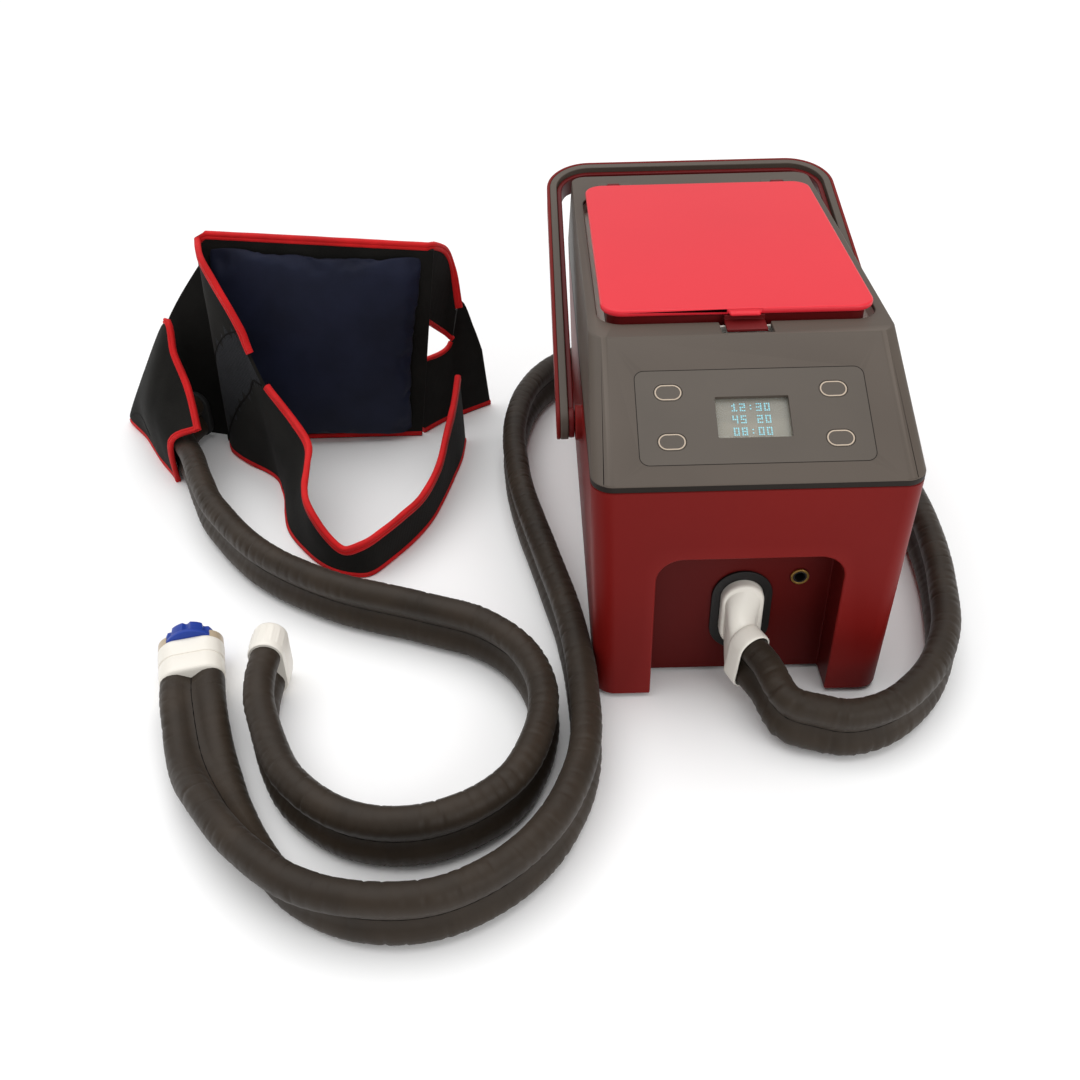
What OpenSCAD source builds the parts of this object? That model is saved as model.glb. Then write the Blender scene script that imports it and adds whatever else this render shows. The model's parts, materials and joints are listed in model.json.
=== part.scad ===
// Hot and cold water therapy machine with a twin hose and a lumbar wrap.
// Millimetres. Origin on the table under the machine's centre, X right, Y back, Z up.

/* [Housing] */
// Width of the housing at its top rim
body_w = 200; // [190:1:230]
// Width of the housing at the table
base_w = 192; // [186:1:200]
// Depth of the housing at its top rim, front to back
body_d = 390; // [380:1:420]
// How far the housing draws in at the table, front and back
base_set = 3; // [1:0.5:6]
// Height of the housing's top rim above the table
housing_h = 170; // [160:1:190]
// Wall of the housing
wall = 3; // [2:0.1:4]
// Plan radius of the housing's upright corners
corner_r = 14; // [10:0.5:18]
// Height of the rubber feet
foot_h = 3; // [2:0.5:5]
// Radius of each rubber foot
foot_r = 9; // [6:0.5:11]
// Thickness of the base plate
base_t = 3; // [2:0.5:4]

/* [Front recess] */
// Width of the arched recess in the front
recess_w = 118; // [108:1:124]
// Height of the recess's crown above the table
recess_h = 118; // [112:1:130]
// Depth of the recess behind the front face
recess_d = 27; // [22:0.5:32]
// Radius of the recess's upper corners
recess_r = 17; // [8:0.5:24]

/* [Top cover] */
// Height of the cover's upright lip
lip_h = 4.5; // [3:0.5:7]
// Height of the cover's flat top above the table
cover_h = 224; // [216:1:240]
// How far each side of the cover's flat top stands in from the housing's rim
cover_taper = 3; // [0:0.5:5]
// Horizontal run of the sloping control panel
slope_run = 94; // [88:1:94]
// How far the cover's flat top stops short of the back
rear_set = 7; // [4:0.5:12]
// Wall of the cover
cover_wall = 2.5; // [2:0.1:3]

/* [Lid] */
// How far each side of the lid plate stands in from the cover's flat top
lid_side = 9; // [8:0.5:14]
// Length of the lid plate
lid_len = 226; // [200:1:228]
// Thickness of the lid plate
lid_t = 4.5; // [3:0.5:6]
// Gap between the cover's top and the lid plate
lid_gap = 3.5; // [3:0.5:6]
// Plan radius of the lid's corners
lid_r = 14; // [8:0.5:20]
// Horizontal gap between the lid plate and the edge of the cover's opening
lid_edge_gap = 2; // [1:0.5:4]
// Depth of the lid's liner under the plate
liner_h = 12; // [10:0.5:14]
// How far the liner stands in from the plate's edge
liner_set = 4; // [3:0.5:6]
// Radius of the lid's hinge knuckles
knuckle_r = 3.4; // [3:0.1:3.4]
// Radius of the lid's hinge pin
hinge_pin_r = 1.5; // [1:0.1:1.8]

/* [Reservoir] */
// Wall of the reservoir
tub_wall = 2.5; // [2:0.1:3.5]
// Height of the reservoir's underside above the table
tub_z = 62; // [60:1:80]
// Thickness of the insulation jacket
foam_t = 7; // [4:0.5:8]

/* [Control panel] */
// Width of the control overlay
overlay_w = 141; // [138:1:150]
// Length of the overlay up the slope
overlay_len = 66.5; // [64:0.5:72]
// Distance up the slope from the lip to the overlay
overlay_s = 14; // [12:0.5:18]
// Thickness of the overlay film
overlay_t = 0.5; // [0.3:0.1:1]
// Length of each pill-shaped button
button_w = 17.5; // [15:0.5:20]
// Height of each pill-shaped button
button_h = 12; // [10:0.5:14]
// Sideways distance of the buttons from the middle
button_x = 50.5; // [46:0.5:54]
// Distance between the two rows of buttons
button_rows = 34.7; // [30:0.1:38]
// Travel of each button
button_travel = 0.6; // [0.3:0.1:1]
// Width of the display opening
display_w = 45; // [40:1:50]
// Height of the display opening
display_h = 29; // [25:1:32]

/* [Handle] */
// Distance of the handle's pivots from the front face
pivot_run = 115; // [105:1:125]
// Height of the handle's pivots above the table
pivot_z = 150; // [140:1:154]
// Distance from the pivots to the middle of the crossbar
handle_reach = 294; // [292:1:300]
// Angle of the folded handle above level
handle_rest_angle = 13; // [11:0.5:15]
// Width of the handle's strap
strap_w = 22; // [16:1:24]
// Thickness of the handle's grey frame
frame_t = 5.5; // [4:0.5:7]
// Thickness of the handle's red skin
skin_t = 2.5; // [1.5:0.5:4]
// Thickness of the handle's inner lining
lining_t = 4; // [2:0.5:4.5]
// Plan radius of the handle's far corners
handle_r = 24; // [18:1:30]
// Gap between the housing's rim and the handle's arms
arm_gap = 5.5; // [5.5:0.5:9]
// Radius of the pivot bolt's shank
pivot_r = 5; // [4:0.25:6]

/* [Hose port] */
// Sideways place of the hose port
port_x = 1.5; // [-4:0.5:6]
// Height of the hose port's centre
port_z = 55.5; // [54:0.5:58]
// Width of the port bezel
port_w = 40; // [38:1:44]
// Height of the port bezel
port_h = 66; // [62:1:68]
// Width of the elbow's plug
plug_w = 28; // [26:0.5:30]
// Height of the elbow's plug
plug_h = 52; // [48:0.5:54]
// Sideways place of the power socket
socket_x = 38; // [36:1:42]
// Height of the power socket
socket_z = 83; // [78:1:90]
// Radius of the power socket's bore
socket_bore_r = 3.5; // [3:0.1:4]
// Outer radius of the power socket's ring
socket_ring_r = 6; // [6:0.1:8]

/* [Hoses] */
// Radius of each lobe of the twin hose
lobe_r = 10; // [9:0.1:10.4]
// Distance between the centres of the two lobes
lobe_pitch = 23; // [22:0.5:23]
// Wall of the elbow's collar and of the wrap's coupling
coupling_wall = 2; // [1.5:0.5:3]
// Length of the wrap's coupling
mouth_len = 22; // [20:1:26]
// How far the locking coupling stands out at the hose's sides
lock_wall = 0.5; // [0.5:0.5:2]
// Height of the locking coupling's body
lock_h = 26; // [24:1:30]
// Length of the locking coupling's body
coupling_len = 30; // [26:1:34]
// Radius of the blue cap
cap_r = 18.5; // [16:0.5:18.5]
// Length of the blue cap
cap_len = 14; // [12:1:18]

/* [Lumbar wrap] */
// Thickness of the wrap's black panel
panel_t = 4; // [3:0.5:5]
// Thickness of the wrap's wings, straps and belt
cloth_t = 3; // [2:0.5:4]
// Thickness of the navy pad at its crown
pad_t = 15; // [10:1:18]
// Height of the red edge binding
binding_h = 6; // [4:0.5:8]

/* [Hidden] */

fine = 64;
hull_fn = 32;
// Clearances: between seated pieces, of a running pin, and around a loose piece
seat = 0.05;
pin_clear = 0.05;
loose = 0.3;
binding_gap = 0.6;

front_y = -body_d / 2;
back_y = body_d / 2;
floor_z = foot_h + base_t;
lip_top = housing_h + lip_h;
slope_rise = cover_h - lip_top;
cover_top_w = body_w - 2 * cover_taper;
lid_w = cover_top_w - 2 * lid_side;
slope_angle = atan(slope_rise / slope_run);
top_front_y = front_y + slope_run;
top_back_y = back_y - rear_set;

function side_x(z) =
  base_w / 2 + (body_w - base_w) / 2 * (z - foot_h) / (housing_h - foot_h);
function slope_z(y) = lip_top + (y - front_y) * tan(slope_angle);
// Inner face of the sloping wall, a cover wall under its outer face
function slope_inside(y) = slope_z(y) - cover_wall / cos(slope_angle);
function slope_inside_y(z) = front_y + (z - slope_inside(front_y)) / tan(slope_angle);

cover_under = cover_h - cover_wall;

// Lid, its opening and its hinge
lid_y0 = top_front_y + 20;
lid_y1 = lid_y0 + lid_len;
lid_z = cover_h + lid_gap;
open_half = lid_w / 2 + lid_edge_gap;
open_y0 = lid_y0 - lid_edge_gap;
hinge_y = lid_y1 + knuckle_r + 0.5;
hinge_z = cover_h + knuckle_r + 0.6;
open_y1 = lid_y1 - 2;
liner_z = lid_z - liner_h;
liner_half = lid_w / 2 - liner_set;
liner_y0 = lid_y0 + liner_set;
liner_y1 = open_y1 - liner_set;
ear_x = [56, 74];
ear_len = 8;
knuckle_x = (ear_x[0] + ear_x[1]) / 2;
notch_w = 33;
notch_d = 15;
notch_x = 3.5;
tongue_w = 26;

// Reservoir, hung from the cover's underside by its collar
gasket_h = 1.8;
rim_z = liner_z - gasket_h - 0.3;
tub_half = liner_half - 4;
tub_y0 = liner_y0 + 4;
tub_y1 = liner_y1 - 4;
collar_half = open_half + 2.2;
collar_y0 = open_y0 - 2.2;
collar_y1 = open_y1 + 2.2;
rim_t = 2;
// Handle
pivot_y = front_y + pivot_run;
arm_in = body_w / 2 + arm_gap;
frame_in = arm_in + lining_t;
frame_out = frame_in + frame_t;
skin_out = frame_out + skin_t;
lining_w = strap_w - 8;
bar_in = handle_reach - (lining_t + frame_t + skin_t) / 2;
boss_r = strap_w / 2 + 1;

// Hose port and the twin section
recess_y = front_y + recess_d;
wall_back_y = recess_y + wall;
twin_w = 2 * lobe_r;
twin_h = lobe_pitch + 2 * lobe_r;
bore_offset = 12;
supply_z = port_z - 19.5;
return_z = port_z + 18.5;
exit_at = [port_x + 5, front_y - 2, 34];
exit_yaw = 27;
exit_dip = 7;
exit_dir = [sin(exit_yaw) * cos(exit_dip), -cos(exit_yaw) * cos(exit_dip), -sin(exit_dip)];
collar_depth = 10;
plug_out = 8;
socket_depth = 6;

// Pump, heater and boards
pump_x = port_x - 18;
pump_y = 60;
volute_r = 22;
volute_z = supply_z - 10;
volute_h = 20;
impeller_r = 15;
shaft_r = 2.5;
tube_r = 6;
tube_bore = 4.5;
board_drop = 10;
board_t = 1.6;
board_w = overlay_w - 8;
board_len = overlay_len - 4;
board_s = overlay_s + overlay_len / 2;
display_s = overlay_s + overlay_len / 2 - 1;
row_s = [overlay_s + overlay_len / 2 - button_rows / 2, overlay_s + overlay_len / 2 + button_rows / 2];
stem_r = 1.6;
switch_h = 4.5;
post_r = 4;
pilot_r = 1.4;
screw_r = 1.35;
power_w = 58;
power_gap = 11;
power_x = base_w / 2 - wall - power_gap - power_w;
rear_posts = [[-62, 180], [62, 180]];
front_posts = [[-82, -150], [82, -150]];
base_posts = [for (sx = [-1, 1]) for (y = [-150, -20, 150]) [sx * (side_x(floor_z) - wall - 3.6), y]];
foot_places = concat([[0, 0]], [for (sx = [-1, 1]) for (y = [-172, 172]) [sx * 77, y]]);

// Routes of the two twin hoses: x, y, z and the turn of the lobes from stacked to side by side
machine_route = [
  [22, -236, 28, 0], [42, -243, 24, 0], [62, -246, 22, 0], [86, -239, 22, 0], [107, -223, 22, 0],
  [127, -199, 22, 0], [144, -165, 22, 0], [154, -124, 22, 0], [161, -80, 22, 0], [164, -30, 22, 0],
  [162, 25, 22, 0], [157, 80, 22, 0], [149, 130, 22, 0], [134, 180, 22, 0], [107, 218, 22, 0],
  [60, 240, 22, 0], [0, 247, 22, 0], [-55, 244, 22, 0], [-98, 229, 22, 0], [-124, 203, 22, 0],
  [-142, 160, 22, 0], [-150, 105, 22, 0], [-148, 50, 22, 0], [-141, -3, 22, 0], [-125, -79, 22, 0],
  [-111, -149, 22, 0], [-105, -213, 22, 0], [-107, -268, 22, 0], [-124, -316, 22, 0],
  [-152, -350, 22, 0], [-190, -371, 22, 0], [-230, -373, 22, 0], [-268, -360, 22, -12],
  [-300, -331, 21, -28], [-326, -294, 18, -50], [-347, -253, 13, -80]
];
wrap_route = [
  [-447, 136, 23, 0], [-444, 118, 23, 0], [-435, 98, 22, 0], [-422, 72, 22, 0], [-407, 36, 22, 0],
  [-386, -5, 22, 0], [-341, -62, 22, 0], [-282, -103, 22, 0], [-219, -128, 22, 0], [-172, -149, 22, 0],
  [-142, -182, 22, 0], [-131, -227, 22, 0], [-144, -279, 22, 0], [-172, -309, 22, 0],
  [-210, -322, 22, 0], [-251, -314, 22, 0], [-287, -282, 22, 0], [-310, -232, 22, 0]
];
coupling_at = [-367, -186, 19];
coupling_yaw = 14;
wrap_coupling_at = [-316, -181, 24];
wrap_coupling_yaw = 0;
gland_at = [-438, 165, 23];
gland_yaw = 158;
gland_t = 5;
mouth_depth = 12;

// Lumbar wrap, standing on the table. Each station gives a bottom point and a top point.
panel_y = 152;
panel_low = [-414, -236];
panel_left = [-407, 194];
panel_right = [-212, 178];
panel_corner = 8;
wing_front = [
  [[-410, 151, 0], [-404, 151, 190]], [[-404, 132, 0], [-397, 126, 185]],
  [[-387, 113, 0], [-386, 112, 168]], [[-366, 96, 0], [-373, 101, 144]],
  [[-354, 82, 0], [-366, 96, 122]], [[-348, 66, 0], [-354, 83, 96]],
  [[-344, 52, 0], [-341, 68, 85]], [[-341, 34, 0], [-328, 52, 76]], [[-336, 12, 0], [-314, 28, 68]],
  [[-328, -4, 0], [-312, 5, 62]], [[-318, -18, 0], [-312, -14, 54]], [[-305, -34, 0], [-307, -30, 47]],
  [[-292, -45, 0], [-295, -43, 32]], [[-276, -52, 0], [-281, -50, 21]], [[-262, -51, 0], [-264, -51, 27]],
  [[-247, -32, 0], [-250, -38, 30]], [[-233, -10, 0], [-237, -20, 31]], [[-220, 18, 0], [-223, 4, 32]],
  [[-212, 47, 0], [-212, 38, 37]], [[-205, 79, 0], [-206, 68, 49]], [[-199, 110, 0], [-201, 102, 57]],
  [[-197, 140, 0], [-198, 136, 66]]
];
seam_station = 5;
wing_back = [
  [[-235, 158, 0], [-230, 158, 74]], [[-215, 179, 0], [-208, 184, 74]], [[-199, 190, 0], [-196, 192, 114]],
  [[-188, 198, 0], [-186, 200, 84]], [[-175, 207, 0], [-180, 204, 60]]
];
strap = [
  [[-226, 158, 112], [-215, 158, 178]], [[-218, 170, 99], [-206, 175, 166]], [[-211, 178, 89], [-202, 184, 146]],
  [[-205, 180, 82], [-199, 183, 112]]
];
pocket = [
  [[-398, 158, 0], [-397, 158, 60], [-396, 158, 184]], [[-440, 172, 0], [-440, 171, 50], [-438, 168, 130]],
  [[-480, 188, 0], [-480, 188, 30], [-475, 184, 70]], [[-512, 193, 0], [-512, 193, 4], [-511, 192, 8]],
  [[-487, 157, 0], [-488, 160, 40], [-479, 174, 66]], [[-468, 124, 0], [-470, 126, 55], [-446, 152, 119]],
  [[-456, 106, 0], [-458, 108, 52], [-440, 133, 100]], [[-448, 94, 0], [-450, 96, 48], [-427, 110, 77]],
  [[-444, 86, 0], [-440.5, 84, 41], [-417, 81, 54]]
];
mouth_station = 5;
label_x = -330;
label_w = 16;
label_h = 24;

// ---- shared shapes -------------------------------------------------------

module rounded(w, d, r) {
  square([w - 2 * r, d], center = true);
  square([w, d - 2 * r], center = true);
  for (sx = [-1, 1]) for (sy = [-1, 1])
    translate([sx * (w / 2 - r), sy * (d / 2 - r)]) circle(r, $fn = fine);
}

module plate(x0, x1, y0, y1, r, z, h) {
  translate([(x0 + x1) / 2, (y0 + y1) / 2, z])
    linear_extrude(h) rounded(x1 - x0, y1 - y0, r);
}

// Upright pill: straight sides with round top and bottom
module pill(w, h) {
  square([w, h - w], center = true);
  for (s = [-1, 1]) translate([0, s * (h - w) / 2]) circle(w / 2, $fn = fine);
}

// Pill standing in the XZ plane, extruded from y0 to y1
module upright_pill(w, h, x, y0, y1, z) {
  translate([x, y1, z]) rotate([90, 0, 0]) linear_extrude(y1 - y0) pill(w, h);
}

module rod_x(r, x0, x1, y, z) {
  translate([x0, y, z]) rotate([0, 90, 0]) cylinder(x1 - x0, r, r, $fn = fine);
}

module rod_y(r, x, y0, y1, z) {
  translate([x, y1, z]) rotate([90, 0, 0]) cylinder(y1 - y0, r, r, $fn = fine);
}

module rod_z(r, x, y, z0, z1) {
  translate([x, y, z0]) cylinder(z1 - z0, r, r, $fn = fine);
}

// Places children on the sloping panel: x across, y up the slope, z outwards
module on_slope() {
  translate([0, front_y, lip_top]) rotate([slope_angle, 0, 0]) children();
}

module on_handle() {
  translate([0, pivot_y, pivot_z]) rotate([handle_rest_angle, 0, 0]) children();
}

// Drawn-in body of the housing, smaller all round by inset
module housing_body(inset, below, above) {
  r = max(corner_r - inset, 2);
  hull() {
    translate([0, 0, foot_h - below]) linear_extrude(0.5)
      rounded(base_w - 2 * inset, body_d - 2 * base_set - 2 * inset, r, $fn = hull_fn);
    translate([0, 0, housing_h + above - 0.5]) linear_extrude(0.5)
      rounded(body_w - 2 * inset, body_d - 2 * inset, r, $fn = hull_fn);
  }
}

// Arched recess, open at the bottom, larger by grow
module recess_block(grow, y0, y1) {
  w = recess_w / 2 + grow;
  top = recess_h + grow;
  r = recess_r + grow;
  translate([0, y1, 0]) rotate([90, 0, 0]) linear_extrude(y1 - y0) {
    translate([-w, -foot_h - 1]) square([2 * w, top - r + foot_h + 1]);
    translate([-w + r, 0]) square([2 * w - 2 * r, top]);
    for (s = [-1, 1]) translate([s * (w - r), top - r]) circle(r, $fn = fine);
  }
}

// Cover: sloping top over an upright band from low_z to low_top, smaller all round by inset
module cover_body(inset, low_z, low_top, top_front) {
  r = max(corner_r - inset, 2);
  hull() {
    plate(-body_w / 2 + inset, body_w / 2 - inset, front_y + inset, back_y - inset, r, low_z, low_top - low_z);
    plate(-cover_top_w / 2 + inset, cover_top_w / 2 - inset, top_front, top_back_y - inset, r - 2,
      cover_h - inset - 0.5, 0.5);
  }
}

// ---- sweeping: the twin hose and the wrap's bands --------------------------

function unit(v) = v / norm(v);
function mid(a, b, c, d) = (-a + 9 * b + 9 * c - d) / 16;
function refine(p) = let (n = len(p)) [
  for (i = [0:n - 2]) each [p[i], mid(p[max(i - 1, 0)], p[i], p[i + 1], p[min(i + 2, n - 1)])],
  p[n - 1]
];
function place(p) = [p[0], p[1], p[2]];
function along(p, i) = unit(place(p[min(i + 1, len(p) - 1)]) - place(p[max(i - 1, 0)]));
function lobe_axis(t, turn) =
  let (side = unit(cross(t, [0, 0, 1])), up = cross(side, t)) cos(turn) * up + sin(turn) * side;
// Twelve points round two joined lobes; the two at the waist stand closer in
twin_points = [
  for (s = [1, -1]) each concat(
    [for (a = [0:45:180]) [s * lobe_r * cos(a), s * (lobe_pitch / 2 + lobe_r * sin(a))]],
    [[-s * lobe_r * 0.6, 0]]
  )
];
function twin_ring(p, i) = let (
    t = along(p, i), v = lobe_axis(t, p[i][3]), u = cross(v, t)
  ) [for (q = twin_points) place(p[i]) + q[0] * u + q[1] * v];

module twin_hose(route) {
  n = len(route);
  m = len(twin_points);
  rings = [for (i = [0:n - 1]) each twin_ring(route, i)];
  walls = [for (i = [0:n - 2]) for (k = [0:m - 1]) let (
      a = i * m + k, b = i * m + (k + 1) % m, c = b + m, d = a + m
    ) each [[a, c, b], [a, d, c]]];
  first_cap = [[for (k = [0:m - 1]) k]];
  last_cap = [[for (k = [m - 1:-1:0]) (n - 1) * m + k]];
  polyhedron(rings, concat(walls, first_cap, last_cap), convexity = 12);
}

// Straight ends square to the couplings, then the route's own points
function hose_end(at, dir, turn, back) = let (p = at - dir * back) [p[0], p[1], p[2], turn];
function yaw_dir(a) = [-sin(a), cos(a), 0];
machine_hose_path = concat(
  [hose_end(exit_at, exit_dir, 0, collar_depth), hose_end(exit_at, exit_dir, 0, -14)],
  refine(machine_route),
  [
    hose_end(coupling_at, yaw_dir(coupling_yaw), -90, 24),
    hose_end(coupling_at, yaw_dir(coupling_yaw), -90, 0)
  ]
);
wrap_hose_path = concat(
  [hose_end(gland_at, yaw_dir(gland_yaw), 0, -gland_t), hose_end(gland_at, yaw_dir(gland_yaw), 0, -gland_t - 12)],
  refine(wrap_route),
  [
    hose_end(wrap_coupling_at, yaw_dir(wrap_coupling_yaw), 0, 24),
    hose_end(wrap_coupling_at, yaw_dir(wrap_coupling_yaw), 0, 0)
  ]
);

// Closed sheet between two grids of points, each of n stations by m rows
module sheet(front, back, n, m) {
  count = n * m;
  skins = [for (i = [0:n - 2]) for (j = [0:m - 2]) let (
      a = i * m + j, b = a + m, c = b + 1, d = a + 1
    ) each [[a, d, c], [a, c, b], [count + a, count + b, count + c], [count + a, count + c, count + d]]];
  rim = concat(
    [for (i = [0:n - 2]) i * m], [for (j = [0:m - 2]) (n - 1) * m + j],
    [for (i = [n - 1:-1:1]) i * m + m - 1], [for (j = [m - 1:-1:1]) j]
  );
  edges = [for (k = [0:len(rim) - 1]) let (a = rim[k], b = rim[(k + 1) % len(rim)])
      each [[a, b, count + b], [a, count + b, count + a]]];
  polyhedron(concat(front, back), concat(skins, edges), convexity = 8);
}

function cloth_normal(g, i, j) = let (
    n = len(g) - 1, m = len(g[0]) - 1,
    run = g[min(i + 1, n)][j] - g[max(i - 1, 0)][j],
    rise = g[i][min(j + 1, m)] - g[i][max(j - 1, 0)]
  ) unit(cross(run, rise));

// Cloth of thickness t through stations first to last of grid g
module cloth(g, t, first, last) {
  m = len(g[0]);
  sides = [for (s = [0.5, -0.5]) [for (i = [first:last]) for (j = [0:m - 1])
      g[i][j] + cloth_normal(g, i, j) * t * s]];
  sheet(sides[0], sides[1], last - first + 1, m);
}

// Binding that stands on the top edge of grid g
module binding(g, first, last) {
  n = len(g) - 1;
  top = len(g[0]) - 1;
  strip = [for (i = [0:n]) let (
      q = g[i][top], run = g[min(i + 1, n)][top] - g[max(i - 1, 0)][top],
      up = unit(cross(cloth_normal(g, i, top), run))
    ) [q + up * binding_gap, q + up * (binding_gap + binding_h)]];
  cloth(strip, cloth_t + 2, first, last);
}

// ---- housing and base ------------------------------------------------------

module housing() {
  color("firebrick") difference() {
    union() {
      difference() {
        housing_body(0, 0, 0);
        housing_body(wall, 1, 1);
      }
      intersection() {
        recess_block(wall, front_y, wall_back_y);
        housing_body(wall / 2, 0, 0);
      }
      for (s = [-1, 1])
        rod_x(boss_r, s > 0 ? side_x(pivot_z) - wall - 4 : -body_w / 2 - arm_gap + 0.5,
          s > 0 ? body_w / 2 + arm_gap - 0.5 : -side_x(pivot_z) + wall + 4, pivot_y, pivot_z);
      for (p = base_posts) rod_z(4.5, p[0], p[1], floor_z, floor_z + 22);
      for (p = rear_posts)
        translate([p[0] - 6, p[1] - 6, housing_h - 10]) cube([12, back_y - p[1] + 6 - wall / 2, 6]);
      for (p = front_posts)
        translate([p[0] > 0 ? p[0] - 6 : -side_x(housing_h - 8) + wall / 2, p[1] - 6, housing_h - 10])
          cube([side_x(housing_h - 8) - wall / 2 - abs(p[0]) + 6, 12, 6]);
    }
    recess_block(0, front_y - 5, recess_y);
    upright_pill(port_w - 3, port_h - 3, port_x, recess_y - 1, wall_back_y + 1, port_z);
    rod_y(socket_ring_r - 1.5 + seat, socket_x, recess_y - 1, wall_back_y + 1, socket_z);
    rod_x(pivot_r + pin_clear, -body_w, body_w, pivot_y, pivot_z);
    for (p = base_posts) rod_z(pilot_r, p[0], p[1], 0, floor_z + 16);
    for (p = concat(rear_posts, front_posts)) rod_z(1.8, p[0], p[1], housing_h - 12, housing_h - 2);
  }
}

module base_plate() {
  gap = wall + loose;
  color("dimgray") difference() {
    union() {
      translate([0, 0, foot_h]) linear_extrude(base_t)
        rounded(base_w - 2 * gap, body_d - 2 * base_set - 2 * gap, corner_r - gap);
      for (x = [power_x + 5, power_x + power_w - 5]) for (y = [-56, 56]) rod_z(3, x, y, floor_z - 1, floor_z + 8);
    }
    recess_block(gap, front_y - 5, wall_back_y + loose);
    for (p = base_posts) rod_z(1.8, p[0], p[1], foot_h - 1, floor_z + 1);
    for (p = base_posts) rod_z(3, p[0], p[1], foot_h - 1, foot_h + 1.2);
    for (p = foot_places) rod_z(3 + seat, p[0], p[1], foot_h - 1, floor_z + 1);
  }
}

module rubber_feet() {
  color("black") for (p = foot_places) {
    rod_z(foot_r, p[0], p[1], 0, foot_h);
    rod_z(3, p[0], p[1], foot_h - 0.5, floor_z);
  }
}

module base_screws() {
  color("silver") for (p = base_posts) {
    rod_z(2.7, p[0], p[1], foot_h, foot_h + 1.2);
    rod_z(screw_r, p[0], p[1], foot_h + 0.5, floor_z + 14);
  }
}

// ---- top cover and control panel --------------------------------------------

module cover_posts() {
  for (p = rear_posts) rod_z(post_r, p[0], p[1], housing_h - 4, cover_under + 1);
  for (p = front_posts) rod_z(post_r, p[0], p[1], housing_h - 4, slope_z(p[1] - post_r) - 0.8);
  on_slope() for (sx = [-1, 1]) for (ss = [-1, 1])
    translate([sx * (board_w / 2 - 4), board_s + ss * (board_len / 2 - 4), -board_drop])
      cylinder(board_drop - 1, 2.6, 2.6, $fn = fine);
}

module top_cover() {
  color("dimgray") difference() {
    union() {
      difference() {
        union() {
          plate(-body_w / 2, body_w / 2, front_y, back_y, corner_r, housing_h, lip_h);
          cover_body(0, lip_top - 0.5, lip_top, top_front_y);
        }
        cover_body(cover_wall, housing_h - 1, slope_inside(front_y + cover_wall), slope_inside_y(cover_under));
      }
      cover_posts();
      for (s = [-1, 1]) for (x = ear_x)
        translate([s * x - ear_len / 2, hinge_y - knuckle_r, cover_h - 1])
          cube([ear_len, 2 * knuckle_r, hinge_z - cover_h + 1]);
      for (s = [-1, 1]) for (x = ear_x)
        rod_x(knuckle_r, s * x - ear_len / 2, s * x + ear_len / 2, hinge_y, hinge_z);
    }
    plate(-open_half, open_half, open_y0, open_y1, lid_r + lid_edge_gap, cover_under - 3, 30);
    translate([notch_x - notch_w / 2, open_y0 - notch_d, cover_h - 5]) cube([notch_w, notch_d + 5, 10]);
    on_slope() {
      translate([0, board_s, -overlay_t]) linear_extrude(5)
        rounded(overlay_w + 2 * seat, overlay_len + 2 * seat, 6 + seat);
      translate([0, display_s, -6]) linear_extrude(8) rounded(display_w, display_h, 1);
      button_places() translate([0, 0, -6]) linear_extrude(8) rotate(90) pill(button_h + 0.4, button_w + 0.4);
      for (sx = [-1, 1]) for (ss = [-1, 1])
        translate([sx * (board_w / 2 - 4), board_s + ss * (board_len / 2 - 4), -board_drop - 1])
          cylinder(7, 0.95, 0.95, $fn = fine);
    }
    for (s = [-1, 1])
      rod_x(hinge_pin_r + pin_clear, s * knuckle_x - ear_x[1] / 2, s * knuckle_x + ear_x[1] / 2, hinge_y, hinge_z);
    for (p = concat(rear_posts, front_posts)) rod_z(pilot_r, p[0], p[1], housing_h - 5, housing_h + 10);
  }
}

module cover_screws() {
  color("silver") for (p = concat(rear_posts, front_posts)) {
    rod_z(3, p[0], p[1], housing_h - 12, housing_h - 10);
    rod_z(screw_r, p[0], p[1], housing_h - 11, housing_h + 8);
  }
}

// Runs its children at the middle of each button
module button_places(which = [0, 1, 2, 3]) {
  for (i = which)
    translate([(i % 2 == 0 ? -1 : 1) * button_x, row_s[i < 2 ? 1 : 0], 0]) children();
}

module control_overlay() {
  color("dimgray") on_slope() difference() {
    translate([0, board_s, -overlay_t]) linear_extrude(overlay_t) rounded(overlay_w, overlay_len, 6);
    translate([0, display_s, -1]) linear_extrude(3) rounded(display_w, display_h, 1);
    button_places() translate([0, 0, -1]) linear_extrude(3) rotate(90) pill(button_h + 0.4, button_w + 0.4);
  }
}

window_z = -cover_wall - overlay_t / 2 - 1.6;
module display_window() {
  color("lightcyan") on_slope() translate([0, display_s, window_z]) linear_extrude(1.2)
    rounded(display_w + 4, display_h + 4, 1);
}

module display_module() {
  color("darkkhaki") on_slope() translate([0, display_s, -board_drop]) linear_extrude(window_z + board_drop)
    rounded(display_w + 6, display_h + 6, 1);
}

module control_board() {
  color("darkgreen") on_slope() translate([0, board_s, -board_drop - board_t]) difference() {
    linear_extrude(board_t) rounded(board_w, board_len, 2);
    for (sx = [-1, 1]) for (ss = [-1, 1])
      translate([sx * (board_w / 2 - 4), ss * (board_len / 2 - 4), -1])
        cylinder(board_t + 2, 1.2, 1.2, $fn = fine);
  }
}

module board_screws() {
  color("silver") on_slope() for (sx = [-1, 1]) for (ss = [-1, 1])
    translate([sx * (board_w / 2 - 4), board_s + ss * (board_len / 2 - 4), -board_drop - board_t]) {
      translate([0, 0, -1.4]) cylinder(1.4, 2.2, 2.2, $fn = fine);
      translate([0, 0, -0.5]) cylinder(board_t + 4.5, 0.9, 0.9, $fn = fine);
    }
}

module tact_switches() {
  color("black") on_slope() button_places() difference() {
    translate([-3.5, -3.5, -board_drop]) cube([7, 7, switch_h]);
    translate([0, 0, -board_drop + 0.8]) cylinder(switch_h, stem_r + pin_clear, stem_r + pin_clear, $fn = fine);
  }
}

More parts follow.
